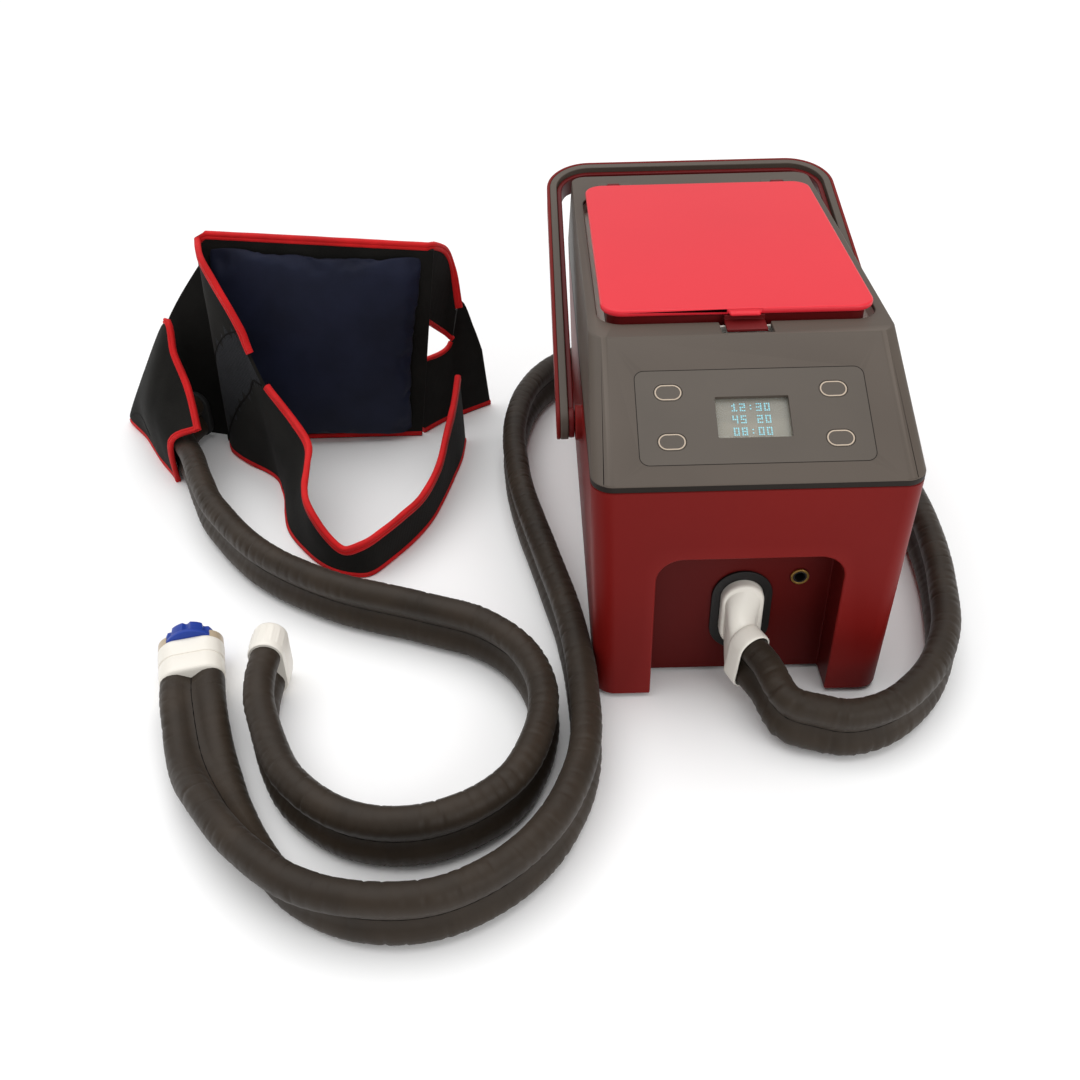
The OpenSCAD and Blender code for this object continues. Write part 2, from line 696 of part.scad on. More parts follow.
// Button number i: a pill cap on a round stem that runs in its switch
module panel_button(i) {
  cap_under = -cover_wall;
  color("gray") on_slope() button_places([i]) {
    translate([0, 0, cap_under]) linear_extrude(-cap_under) rotate(90) pill(button_h, button_w);
    translate([0, 0, -board_drop + 0.8 + button_travel + 0.2])
      cylinder(board_drop + cap_under - button_travel, stem_r, stem_r, $fn = fine);
  }
}
module program_button() { panel_button(0); }
module temperature_button() { panel_button(1); }
module start_button() { panel_button(2); }
module timer_button() { panel_button(3); }

// ---- reservoir ---------------------------------------------------------------

module reservoir() {
  r_out = 12;
  color("ivory") difference() {
    union() {
      plate(-tub_half, tub_half, tub_y0, tub_y1, r_out, tub_z, rim_z - tub_z);
      plate(-collar_half, collar_half, collar_y0, collar_y1, lid_r + lid_edge_gap + 2, rim_z - rim_t, rim_t);
      difference() {
        plate(-collar_half, collar_half, collar_y0, collar_y1, lid_r + lid_edge_gap + 2,
          rim_z - 0.5, cover_under - rim_z + 0.5);
        plate(-open_half - 0.2, open_half + 0.2, open_y0 - 0.2, open_y1 + 0.2, lid_r + lid_edge_gap,
          rim_z - 1, 20);
      }
      rod_z(9, pump_x, pump_y, tub_z - 8, tub_z + 1);
      rod_y(9, port_x, tub_y0 - foam_t - 1.5, tub_y0 + 1, return_z);
    }
    plate(-tub_half + tub_wall, tub_half - tub_wall, tub_y0 + tub_wall, tub_y1 - tub_wall,
      r_out - tub_wall, tub_z + tub_wall, rim_z - tub_z);
    rod_z(tube_bore, pump_x, pump_y, tub_z - 9, tub_z + 4);
    rod_y(tube_bore, port_x, tub_y0 - foam_t - 3, tub_y0 + 4, return_z);
    rod_y(4 + seat, 44, tub_y0 - 1, tub_y0 + 4, tub_z + 24);
  }
}

module insulation_jacket() {
  grow = foam_t + loose;
  color("whitesmoke") difference() {
    plate(-tub_half - grow, tub_half + grow, tub_y0 - grow, tub_y1 + grow, 14, tub_z - foam_t - loose,
      rim_z - rim_t - tub_z + foam_t);
    plate(-tub_half - loose, tub_half + loose, tub_y0 - loose, tub_y1 + loose, 12 + loose,
      tub_z - loose, rim_z - tub_z);
    rod_z(9 + loose, pump_x, pump_y, tub_z - 20, tub_z + 4);
    rod_y(9 + loose, port_x, tub_y0 - 20, tub_y0 + 4, return_z);
    rod_y(7, 44, tub_y0 - 20, tub_y0 + 4, tub_z + 24);
  }
}

module lid_gasket() {
  color("black") difference() {
    plate(-liner_half, liner_half, liner_y0, liner_y1, lid_r - 2, rim_z, gasket_h);
    plate(-liner_half + 3.5, liner_half - 3.5, liner_y0 + 3.5, liner_y1 - 3.5, lid_r - 5.5, rim_z - 1, gasket_h + 2);
  }
}

module intake_strainer() {
  h = 9;
  z0 = tub_z + tub_wall;
  color("white") difference() {
    rod_z(14, pump_x, pump_y, z0, z0 + h);
    rod_z(12, pump_x, pump_y, z0 - 1, z0 + h - 1.5);
    for (a = [0:30:150]) translate([pump_x, pump_y, z0 + 2]) rotate(a)
      translate([-20, -1, 0]) cube([40, 2, h - 4.5]);
  }
}

module temperature_probe() {
  z = tub_z + 24;
  color("silver") {
    rod_y(4, 44, tub_y0 - 6, tub_y0 + 14, z);
    rod_y(6.5, 44, tub_y0 - 3, tub_y0, z);
  }
}

// ---- lid -----------------------------------------------------------------------

module lid_plate() {
  color("crimson") {
    plate(-lid_w / 2, lid_w / 2, lid_y0, lid_y1, lid_r, lid_z, lid_t);
    translate([notch_x - 10, lid_y0 - 3, lid_z]) cube([20, 6, 2.5]);
  }
}

module lid_liner() {
  knuckle_len = ear_x[1] - ear_x[0] - ear_len - 0.6;
  color("darkred") difference() {
    union() {
      plate(-liner_half, liner_half, liner_y0, liner_y1, lid_r - 2, liner_z, liner_h);
      translate([notch_x - tongue_w / 2, open_y0 - notch_d + 3, lid_z - 5])
        cube([tongue_w, notch_d + liner_set + lid_edge_gap, 2]);
      translate([notch_x - tongue_w / 2, liner_y0 - liner_set, lid_z - 5]) cube([tongue_w, liner_set + 1, 5]);
      for (s = [-1, 1]) {
        rod_x(knuckle_r, s * knuckle_x - knuckle_len / 2, s * knuckle_x + knuckle_len / 2, hinge_y, hinge_z);
        translate([s * knuckle_x - knuckle_len / 2, liner_y1 - 1, lid_z - 2])
          cube([knuckle_len, hinge_y - liner_y1 + 1, 2]);
      }
    }
    plate(-liner_half + 2.5, liner_half - 2.5, liner_y0 + 2.5, liner_y1 - 2.5, lid_r - 4.5, liner_z + 2, 50);
    for (s = [-1, 1]) rod_x(hinge_pin_r + pin_clear, s * knuckle_x - 10, s * knuckle_x + 10, hinge_y, hinge_z);
  }
}

module lid_foam() {
  color("whitesmoke")
    plate(-liner_half + 2.8, liner_half - 2.8, liner_y0 + 2.8, liner_y1 - 2.8, lid_r - 4.8, liner_z + 2.3, liner_h - 2.6);
}

module hinge_pins() {
  color("silver") for (s = [-1, 1])
    rod_x(hinge_pin_r, s * knuckle_x - 13, s * knuckle_x + 13, hinge_y, hinge_z);
}

// ---- handle ----------------------------------------------------------------------

// U-shaped layer of the bail between two half widths, with strap width w
module bail(inner, outer, w, end_r) {
  t = outer - inner;
  far = bar_in + inner - arm_in;
  r = handle_r + inner - arm_in;
  for (s = [-1, 1]) {
    translate([s > 0 ? inner : -outer, 0, 0]) {
      translate([0, 0, -w / 2]) cube([t, far - r, w]);
      rod_x(end_r, 0, t, 0, 0);
    }
    translate([s * (inner - r), far - r, -w / 2]) rotate([0, 0, s > 0 ? 0 : 90])
      rotate_extrude(angle = 90, $fn = fine) translate([r, 0]) square([t, w]);
  }
  translate([-inner + r, far, -w / 2]) cube([2 * (inner - r), t, w]);
}

module handle_bore(r) {
  rod_x(r, -body_w, body_w, 0, 0);
}

module handle_frame() {
  color("dimgray") on_handle() difference() {
    bail(frame_in, frame_out, strap_w, strap_w / 2);
    handle_bore(pivot_r + pin_clear);
  }
}

module handle_skin() {
  color("firebrick") on_handle() difference() {
    bail(frame_out, skin_out, strap_w, strap_w / 2);
    handle_bore(pivot_r + 3.5);
  }
}

module handle_lining() {
  color("darkred") on_handle() difference() {
    bail(arm_in, frame_in, lining_w, lining_w / 2 + 3);
    handle_bore(pivot_r + pin_clear);
  }
}

module pivot_bolts() {
  color("black") on_handle() for (s = [-1, 1]) {
    rod_x(pivot_r, s > 0 ? side_x(pivot_z) - wall - 4 : -frame_out, s > 0 ? frame_out : -side_x(pivot_z) + wall + 4, 0, 0);
    rod_x(pivot_r + 3.2, s > 0 ? frame_out : -frame_out - 2, s > 0 ? frame_out + 2 : -frame_out, 0, 0);
    rod_x(pivot_r + 3, s > 0 ? side_x(pivot_z) - wall - 7 : -side_x(pivot_z) + wall + 4,
      s > 0 ? side_x(pivot_z) - wall - 4 : -side_x(pivot_z) + wall + 7, 0, 0);
  }
}

// ---- hose port and power socket ------------------------------------------------------

module port_bezel() {
  color("black") difference() {
    union() {
      upright_pill(port_w, port_h, port_x, recess_y - 2, recess_y, port_z);
      upright_pill(port_w - 3.4, port_h - 3.4, port_x, recess_y - 1, wall_back_y, port_z);
    }
    upright_pill(plug_w + 0.6, plug_h + 0.6, port_x, recess_y - 5, wall_back_y + 1, port_z);
  }
}

module hose_manifold() {
  y0 = wall_back_y;
  y1 = y0 + 22;
  color("white") difference() {
    union() {
      upright_pill(port_w + 6, port_h + 6, port_x, y0, y0 + 4, port_z);
      upright_pill(plug_w + 6, plug_h + 6, port_x, y0, y1, port_z);
      rod_y(8, port_x, y0 + 5, y1, supply_z);
      rod_y(tube_bore - 0.1, port_x, y1 - 1, y1 + 12, supply_z);
      rod_y(tube_bore - 0.1, port_x, y1 - 1, y1 + 12, return_z);
    }
    upright_pill(plug_w + 0.4, plug_h + 0.4, port_x, y0 - 1, y0 + 8, port_z);
    for (z = [supply_z, return_z]) rod_y(3, port_x, y0 + 12, y1 + 13, z);
    for (z = [port_z - bore_offset, port_z + bore_offset]) rod_y(3, port_x, y0 + 5, y0 + 18, z);
    translate([port_x - 3, y0 + 12, supply_z]) cube([6, 6, port_z - bore_offset - supply_z]);
    translate([port_x - 3, y0 + 12, port_z + bore_offset]) cube([6, 6, return_z - port_z - bore_offset]);
  }
}

module manifold_seals() {
  color("black") for (z = [port_z - bore_offset, port_z + bore_offset]) difference() {
    rod_y(6, port_x, wall_back_y + 6.2, wall_back_y + 8, z);
    rod_y(3.5, port_x, wall_back_y + 5, wall_back_y + 9, z);
  }
}

// Turns the twin section to face along the hose's way out of the elbow
module at_exit(back) {
  translate(exit_at - exit_dir * back) rotate([0, 0, exit_yaw]) rotate([exit_dip, 0, 0])
    rotate([90, 0, 0]) children();
}

module hose_elbow() {
  collar_w = twin_w + 2 * coupling_wall;
  collar_h = twin_h + 2 * coupling_wall;
  color("white") difference() {
    union() {
      upright_pill(plug_w, plug_h, port_x, recess_y - plug_out, wall_back_y + 6, port_z);
      hull() {
        upright_pill(plug_w - 3, plug_h - 14, port_x, recess_y - plug_out - 1, recess_y - plug_out + 1, port_z + 3);
        at_exit(collar_depth + 4) linear_extrude(2) pill(collar_w - 2, collar_h - 2);
      }
      at_exit(collar_depth + 3) linear_extrude(collar_depth + 3) pill(collar_w, collar_h);
    }
    at_exit(collar_depth) linear_extrude(collar_depth + 5) pill(twin_w + 0.6, twin_h + 0.6);
    for (z = [port_z - bore_offset, port_z + bore_offset]) rod_y(4, port_x, recess_y - 4, wall_back_y + 8, z);
  }
}

module power_socket() {
  r = socket_ring_r - 1.5;
  color("black") difference() {
    union() {
      rod_y(r, socket_x, recess_y - 1.6, wall_back_y + 12, socket_z);
      rod_y(socket_ring_r, socket_x, wall_back_y, wall_back_y + 2.5, socket_z);
    }
    rod_y(socket_bore_r, socket_x, recess_y - 3, recess_y + socket_depth, socket_z);
    rod_y(socket_bore_r - 0.7, socket_x, recess_y, wall_back_y + 9, socket_z);
  }
}

module socket_ring() {
  color("goldenrod") difference() {
    rod_y(socket_ring_r, socket_x, recess_y - 1.8, recess_y, socket_z);
    rod_y(socket_ring_r - 1.5 + seat, socket_x, recess_y - 3, recess_y + 1, socket_z);
  }
}

module socket_pins() {
  color("silver") for (dx = [-1.4, 1.4])
    rod_y(0.5, socket_x + dx, recess_y + socket_depth + 0.5, wall_back_y + 9, socket_z);
}

// ---- pump, heater and tubes -----------------------------------------------------------

module pump_motor() {
  r = 18;
  color("silver") difference() {
    union() {
      rod_z(r, pump_x, pump_y, floor_z, volute_z);
      translate([pump_x - 24, pump_y - 7, floor_z]) cube([48, 14, 2.5]);
    }
    rod_z(shaft_r + pin_clear, pump_x, pump_y, volute_z - 14, volute_z + 1);
  }
}

module pump_body() {
  h = volute_h;
  color("white") difference() {
    union() {
      rod_z(volute_r, pump_x, pump_y, volute_z, volute_z + h);
      rod_z(9, pump_x, pump_y, volute_z + h - 1, tub_z - 8);
      rod_y(8, port_x, pump_y - 34, pump_y, supply_z);
    }
    rod_z(impeller_r + 3, pump_x, pump_y, volute_z + 3, volute_z + h - 3);
    rod_z(tube_bore, pump_x, pump_y, volute_z + h - 4, tub_z);
    rod_y(3.5, port_x, pump_y - 23, pump_y, supply_z);
    rod_y(tube_r + seat, port_x, pump_y - 35, pump_y - 22, supply_z);
    rod_z(shaft_r + 1, pump_x, pump_y, volute_z - 1, volute_z + 4);
  }
}

module pump_impeller() {
  z0 = volute_z + 4.5;
  color("cornflowerblue") {
    rod_z(shaft_r, pump_x, pump_y, volute_z - 12, z0 + 9);
    difference() {
      rod_z(impeller_r, pump_x, pump_y, z0, z0 + 2);
      rod_z(shaft_r - 0.5, pump_x, pump_y, z0 - 1, z0 + 3);
    }
    for (a = [0:60:300]) translate([pump_x, pump_y, z0 + 1.5]) rotate(a)
      translate([shaft_r - 1, -0.75, 0]) cube([impeller_r - shaft_r, 1.5, 7]);
  }
}

module heater_block() {
  x0 = port_x - 16;
  color("silver") difference() {
    translate([x0, -70, floor_z]) cube([32, 56, supply_z + 13 - floor_z]);
    rod_y(tube_r + seat, port_x, -75, 0, supply_z);
    for (y = [-62, -50, -38, -26]) translate([x0 - 1, y, floor_z + 5]) cube([34, 5, 12]);
  }
}

module supply_tube() {
  y0 = wall_back_y + 22;
  color("lightgray") difference() {
    rod_y(tube_r, port_x, y0, pump_y - 22.5, supply_z);
    rod_y(tube_bore, port_x, y0 - 1, pump_y, supply_z);
  }
}

module return_tube() {
  y0 = wall_back_y + 22;
  color("lightgray") difference() {
    rod_y(tube_r, port_x, y0, tub_y0 - foam_t - 1.5, return_z);
    rod_y(tube_bore, port_x, y0 - 1, tub_y0, return_z);
  }
}

module power_board() {
  z = floor_z + 8;
  color("darkgreen") {
    translate([power_x, -62, z]) cube([power_w, 124, board_t]);
    rod_z(8, power_x + 16, -38, z + 1, z + 26);
    rod_z(6, power_x + 38, -42, z + 1, z + 20);
    translate([power_x + 10, 0, z + 1]) cube([24, 22, 18]);
    translate([power_x + 40, -10, z + 1]) cube([12, 40, 10]);
  }
}

// ---- hoses and couplings ---------------------------------------------------------------

module machine_hose() {
  color("dimgray") twin_hose(machine_hose_path);
}

module wrap_hose() {
  color("dimgray") twin_hose(wrap_hose_path);
}

module at_coupling(at, yaw) {
  translate(at) rotate([0, 0, yaw]) rotate([-90, 0, 0]) children();
}

module coupling_body() {
  w = twin_h + 2 * lock_wall;
  groove = coupling_len / 2;
  color("ivory") at_coupling(coupling_at, coupling_yaw) {
    linear_extrude(groove) rotate(90) pill(lock_h, w);
    translate([0, 0, groove - 1]) linear_extrude(3) rotate(90) pill(lock_h - 2, w - 2);
    translate([0, 0, groove + 1]) linear_extrude(coupling_len - groove - 1) rotate(90) pill(lock_h, w);
    translate([0, 0, coupling_len - 4]) linear_extrude(4) rotate(90) pill(lock_h + 4, w + 1);
    translate([0, 0, coupling_len - 1]) cylinder(6, cap_r - 5, cap_r - 5, $fn = fine);
  }
}

module coupling_cap() {
  lobes = 8;
  notch_r = 3.5;
  color("royalblue") at_coupling(coupling_at, coupling_yaw) translate([0, 0, coupling_len + 0.2]) difference() {
    union() {
      cylinder(4, cap_r, cap_r, $fn = fine);
      translate([0, 0, 3]) cylinder(cap_len - 3, cap_r - 1, cap_r - 3, $fn = fine);
    }
    translate([0, 0, -1]) cylinder(6.5, cap_r - 5 + pin_clear, cap_r - 5 + pin_clear, $fn = fine);
    for (i = [0:lobes - 1]) rotate(i * 360 / lobes)
      translate([cap_r + 0.5, 0, 4]) cylinder(cap_len, notch_r, notch_r, $fn = fine);
  }
}

module wrap_coupling() {
  w = twin_w + 2 * coupling_wall;
  h = twin_h + 2 * coupling_wall;
  color("ivory") at_coupling(wrap_coupling_at, wrap_coupling_yaw) difference() {
    union() {
      linear_extrude(mouth_len) pill(w, h);
      for (s = [-1, 1]) for (y = [-10:4:10])
        translate([s * w / 2 - 0.6, y - 0.8, 2]) cube([1.2, 1.6, mouth_len - 4]);
    }
    translate([0, 0, mouth_len - mouth_depth]) linear_extrude(mouth_depth + 1) pill(w - 5, h - 5);
  }
}

// ---- lumbar wrap --------------------------------------------------------------------------

module wrap_back_panel() {
  color("black") translate([0, panel_y + panel_t, 0]) rotate([90, 0, 0]) linear_extrude(panel_t)
    polygon([
      [panel_low[0], 0], [panel_low[1], 0], panel_right,
      panel_left + [panel_corner, 0], panel_left - [0, panel_corner]
    ]);
}

// Cushion: flat back, crown towards the front, sides drawn in at the middle
module wrap_pad() {
  n = 15;
  edge = 3;
  margin = 9;
  back = panel_y - loose;
  function blend(a, b, t) = a + (b - a) * t;
  function spot(u, v) = let (
      left = blend(panel_low[0], panel_left[0], v) + margin,
      right = blend(panel_low[1], panel_right[0], v) - margin,
      top = blend(panel_left[1], panel_right[1], u) - margin / 2
    ) [blend(left, right, u) + 3 * sin(180 * v) * (1 - 2 * u), blend(edge, top, v) + 2 * sin(180 * u) * (1 - 2 * v)];
  function puff(u, v) = edge + (pad_t - edge) * pow(sin(180 * u) * sin(180 * v), 0.45);
  function skin(depth) = [for (i = [0:n - 1]) for (j = [0:n - 1])
      let (u = i / (n - 1), v = j / (n - 1), q = spot(u, v)) [q[0], back - depth * puff(u, v), q[1]]];
  color("midnightblue") sheet(skin(1), skin(0), n, n);
}

module wrap_left_wing() {
  color("black") cloth(wing_front, cloth_t, 0, seam_station);
}

module wrap_belt() {
  color("black") cloth(wing_front, cloth_t, seam_station, len(wing_front) - 1);
}

module wrap_right_wing() {
  color("black") cloth(wing_back, cloth_t, 0, len(wing_back) - 1);
}

module wrap_right_strap() {
  color("black") cloth(strap, cloth_t, 0, len(strap) - 1);
}

module wrap_hose_pocket() {
  color("black") cloth(pocket, cloth_t, 0, len(pocket) - 1);
}

module wrap_hose_gland() {
  color("black") at_coupling(gland_at, gland_yaw) linear_extrude(gland_t)
    pill(twin_w + 6, twin_h + 1);
}

module wrap_binding() {
  mid_y = panel_y + panel_t / 2;
  panel_edge = [for (q = [panel_left + [panel_corner, 0], panel_right]) [[q[0], mid_y, 0], [q[0], mid_y, q[1]]]];
  color("red") {
    binding(panel_edge, 0, 1);
    binding(wing_front, 0, len(wing_front) - 1);
    binding(strap, 0, len(strap) - 1);
    binding([for (i = [mouth_station:len(pocket) - 1]) pocket[i]], 0, len(pocket) - 1 - mouth_station);
  }
}

module care_label() {
  color("white") translate([label_x, panel_y + panel_t + loose, 1]) cube([label_w, 0.8, label_h]);
}

housing();
base_plate();
rubber_feet();
base_screws();
top_cover();
cover_screws();
control_overlay();
display_window();
display_module();
control_board();
board_screws();
tact_switches();
program_button();
temperature_button();
start_button();
timer_button();
reservoir();
insulation_jacket();
lid_gasket();
intake_strainer();
temperature_probe();
lid_plate();
lid_liner();
lid_foam();
hinge_pins();
handle_frame();
handle_skin();
handle_lining();
pivot_bolts();
port_bezel();
hose_manifold();
manifold_seals();
hose_elbow();
power_socket();
socket_ring();
socket_pins();
pump_motor();
pump_body();
pump_impeller();
heater_block();
supply_tube();
return_tube();
power_board();
machine_hose();
coupling_body();
coupling_cap();
wrap_hose();
wrap_coupling();
wrap_back_panel();
wrap_pad();
wrap_left_wing();
wrap_belt();
wrap_right_wing();
wrap_right_strap();
wrap_hose_pocket();
wrap_hose_gland();
wrap_binding();
care_label();
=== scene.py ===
import json
import math
import bmesh
import bpy
from mathutils import Matrix, Vector, noise


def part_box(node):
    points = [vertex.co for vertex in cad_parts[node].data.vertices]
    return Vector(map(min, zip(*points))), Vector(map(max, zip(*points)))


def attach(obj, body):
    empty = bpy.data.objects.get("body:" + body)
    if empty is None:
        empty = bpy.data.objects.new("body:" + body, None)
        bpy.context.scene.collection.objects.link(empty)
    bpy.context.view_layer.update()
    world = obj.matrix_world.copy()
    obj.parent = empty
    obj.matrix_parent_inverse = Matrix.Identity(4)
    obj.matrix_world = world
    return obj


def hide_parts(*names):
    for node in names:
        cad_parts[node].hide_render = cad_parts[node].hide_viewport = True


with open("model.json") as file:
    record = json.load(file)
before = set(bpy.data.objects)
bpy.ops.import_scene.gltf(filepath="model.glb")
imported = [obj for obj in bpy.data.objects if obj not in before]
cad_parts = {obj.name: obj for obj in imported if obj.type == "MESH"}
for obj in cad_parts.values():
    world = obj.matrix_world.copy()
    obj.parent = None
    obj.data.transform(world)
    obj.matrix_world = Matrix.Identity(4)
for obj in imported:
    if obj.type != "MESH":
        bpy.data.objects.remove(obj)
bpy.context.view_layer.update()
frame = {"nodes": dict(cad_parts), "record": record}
nodes = frame["nodes"]
mm = 0.001
print("frame loaded,", len(nodes), "nodes")


# shared mesh helpers

def colour(r, g, b):
    def linear(c):
        c = c / 255
        return c / 12.92 if c <= 0.04045 else ((c + 0.055) / 1.055) ** 2.4
    return (linear(r), linear(g), linear(b), 1)


def newPiece(name, verts, faces, material, body="machine", sharp=40, uvs=None):
    mesh = bpy.data.meshes.new(name)
    mesh.from_pydata([tuple(v) for v in verts], [], faces)
    if uvs:
        layer = mesh.uv_layers.new(name="UVMap")
        for loop in mesh.loops:
            layer.data[loop.index].uv = uvs[loop.vertex_index]
    fixed = bmesh.new()
    fixed.from_mesh(mesh)
    bmesh.ops.recalc_face_normals(fixed, faces=fixed.faces)
    fixed.to_mesh(mesh)
    fixed.free()
    return finishPiece(name, mesh, material, body, sharp)


def finishPiece(name, mesh, material, body, sharp):
    mesh.shade_smooth()
    mesh.set_sharp_from_angle(angle=math.radians(sharp))
    mesh.materials.clear()
    mesh.materials.append(material)
    piece = bpy.data.objects.new(name, mesh)
    bpy.context.scene.collection.objects.link(piece)
    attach(piece, body)
    return piece


bevelLook = {
    "fromAngle": 30,     # degrees, flatter edges are left as they are
    "segments": 3,
    "smoothUnder": 32,       # degrees
}


def roundedCopy(node, name, material, width, body="machine", where=None):
    work = bmesh.new()
    work.from_mesh(nodes[node].data)
    bmesh.ops.remove_doubles(work, verts=work.verts, dist=1e-6)
    bmesh.ops.dissolve_limit(work, angle_limit=math.radians(0.6), verts=work.verts, edges=work.edges)
    edges = []
    for edge in work.edges:
        middle = (edge.verts[0].co + edge.verts[1].co) / 2
        chosen = where is None or where(middle)
        if chosen and edge.is_manifold and edge.calc_face_angle() > math.radians(bevelLook["fromAngle"]):
            edges.append(edge)
    bmesh.ops.bevel(work, geom=edges, offset=width, offset_type="OFFSET", segments=bevelLook["segments"],
                    profile=0.5, affect="EDGES", clamp_overlap=False)
    mesh = bpy.data.meshes.new(name)
    work.to_mesh(mesh)
    work.free()
    if "custom_normal" in mesh.attributes:
        mesh.attributes.remove(mesh.attributes["custom_normal"])
    piece = finishPiece(name, mesh, material, body, bevelLook["smoothUnder"])
    flat = piece.modifiers.new("flatFaces", "WEIGHTED_NORMAL")     # big faces stay flat beside the rounding
    flat.keep_sharp = True
    flat.weight = 100
    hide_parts(node)
    return piece


def curveThrough(points, steps):
    out = []
    last = len(points) - 1
    for i in range(last):
        a, b, c, d = (points[max(i - 1, 0)], points[i], points[i + 1], points[min(i + 2, last)])
        for k in range(steps):
            t = k / steps
            out.append(tuple(
                0.5 * (2 * q + (r - p) * t + (2 * p - 5 * q + 4 * r - s) * t * t
                       + (3 * q - p - 3 * r + s) * t * t * t)
                for p, q, r, s in zip(a, b, c, d)))
    out.append(tuple(points[last]))
    return out


def evenly(points, spacing):
    out = [points[0]]
    left = spacing
    for a, b in zip(points, points[1:]):
        length = (Vector(b[:3]) - Vector(a[:3])).length
        gone = 0
        while length - gone >= left:
            gone += left
            t = gone / length
            out.append(tuple(p + (q - p) * t for p, q in zip(a, b)))
            left = spacing
        left -= length - gone
    if (Vector(points[-1][:3]) - Vector(out[-1][:3])).length > spacing * 0.3:
        out.append(points[-1])
    return out


def ringFaces(rings, size):
    faces = []
    for i in range(rings - 1):
        for k in range(size):
            nextK = (k + 1) % size
            faces.append((i * size + k, i * size + nextK, (i + 1) * size + nextK, (i + 1) * size + k))
    faces.append(tuple(range(size)))
    faces.append(tuple((rings - 1) * size + k for k in reversed(range(size))))
    return faces


# node groups shared by the materials

def newGroup(name, inputs, outputs):
    group = bpy.data.node_groups.new(name, "ShaderNodeTree")
    for label, kind, value in inputs:
        socket = group.interface.new_socket(label, in_out="INPUT", socket_type=kind)
        socket.default_value = value
    for label, kind in outputs:
        group.interface.new_socket(label, in_out="OUTPUT", socket_type=kind)
    start = group.nodes.new("NodeGroupInput")
    end = group.nodes.new("NodeGroupOutput")
    return group, start, end


def makeGrainGroup():
    group, start, end = newGroup(
        "mouldedGrain",
        [("Grain scale", "NodeSocketFloat", 900), ("Blotch scale", "NodeSocketFloat", 14)],
        [("Height", "NodeSocketFloat"), ("Blotch", "NodeSocketFloat")])
    place = group.nodes.new("ShaderNodeTexCoord")
    fine = group.nodes.new("ShaderNodeTexNoise")
    fine.inputs["Detail"].default_value = 3
    wide = group.nodes.new("ShaderNodeTexNoise")
    wide.inputs["Detail"].default_value = 4
    group.links.new(place.outputs["Object"], fine.inputs["Vector"])
    group.links.new(place.outputs["Object"], wide.inputs["Vector"])
    group.links.new(start.outputs["Grain scale"], fine.inputs["Scale"])
    group.links.new(start.outputs["Blotch scale"], wide.inputs["Scale"])
    group.links.new(fine.outputs["Fac"], end.inputs["Height"])
    group.links.new(wide.outputs["Fac"], end.inputs["Blotch"])
    return group


def makeWeaveGroup():
    group, start, end = newGroup(
        "wovenThreads",
        [("Thread scale", "NodeSocketFloat", 700), ("Pucker scale", "NodeSocketFloat", 30)],
        [("Height", "NodeSocketFloat"), ("Blotch", "NodeSocketFloat")])
    place = group.nodes.new("ShaderNodeTexCoord")
    bands = []
    for direction in ("X", "Z"):
        wave = group.nodes.new("ShaderNodeTexWave")
        wave.bands_direction = direction
        wave.inputs["Distortion"].default_value = 0.6
        group.links.new(place.outputs["Object"], wave.inputs["Vector"])
        group.links.new(start.outputs["Thread scale"], wave.inputs["Scale"])
        bands.append(wave)
    cross = group.nodes.new("ShaderNodeMath")
    cross.operation = "MULTIPLY"
    group.links.new(bands[0].outputs["Fac"], cross.inputs[0])
    group.links.new(bands[1].outputs["Fac"], cross.inputs[1])
    pucker = group.nodes.new("ShaderNodeTexNoise")
    pucker.inputs["Detail"].default_value = 3
    group.links.new(place.outputs["Object"], pucker.inputs["Vector"])
    group.links.new(start.outputs["Pucker scale"], pucker.inputs["Scale"])
    mixed = group.nodes.new("ShaderNodeMath")
    mixed.operation = "MULTIPLY_ADD"
    mixed.inputs[1].default_value = 3
    group.links.new(pucker.outputs["Fac"], mixed.inputs[0])
    group.links.new(cross.outputs[0], mixed.inputs[2])
    group.links.new(mixed.outputs[0], end.inputs["Height"])
    group.links.new(pucker.outputs["Fac"], end.inputs["Blotch"])
    return group


def makeSleeveGroup():
    group, start, end = newGroup(
        "sleeveWrinkles",
        [("Wrinkles per metre", "NodeSocketFloat", 150), ("Thread scale", "NodeSocketFloat", 1400)],
        [("Height", "NodeSocketFloat"), ("Blotch", "NodeSocketFloat")])
    place = group.nodes.new("ShaderNodeTexCoord")
    wave = group.nodes.new("ShaderNodeTexWave")
    wave.bands_direction = "Y"
    wave.inputs["Distortion"].default_value = 7
    wave.inputs["Detail Scale"].default_value = 1.5
    group.links.new(place.outputs["UV"], wave.inputs["Vector"])
    group.links.new(start.outputs["Wrinkles per metre"], wave.inputs["Scale"])
    patch = group.nodes.new("ShaderNodeTexNoise")
    patch.inputs["Scale"].default_value = 26
    group.links.new(place.outputs["Object"], patch.inputs["Vector"])
    thread = group.nodes.new("ShaderNodeTexNoise")
    group.links.new(place.outputs["Object"], thread.inputs["Vector"])
    group.links.new(start.outputs["Thread scale"], thread.inputs["Scale"])
    faded = group.nodes.new("ShaderNodeMath")
    faded.operation = "MULTIPLY"
    group.links.new(wave.outputs["Fac"], faded.inputs[0])
    group.links.new(patch.outputs["Fac"], faded.inputs[1])
    height = group.nodes.new("ShaderNodeMath")
    height.operation = "MULTIPLY_ADD"
    height.inputs[1].default_value = 0.25
    group.links.new(thread.outputs["Fac"], height.inputs[0])
    group.links.new(faded.outputs[0], height.inputs[2])
    group.links.new(height.outputs[0], end.inputs["Height"])
    group.links.new(patch.outputs["Fac"], end.inputs["Blotch"])
    return group


groups = {"grain": makeGrainGroup(), "weave": makeWeaveGroup(), "sleeve": makeSleeveGroup()}


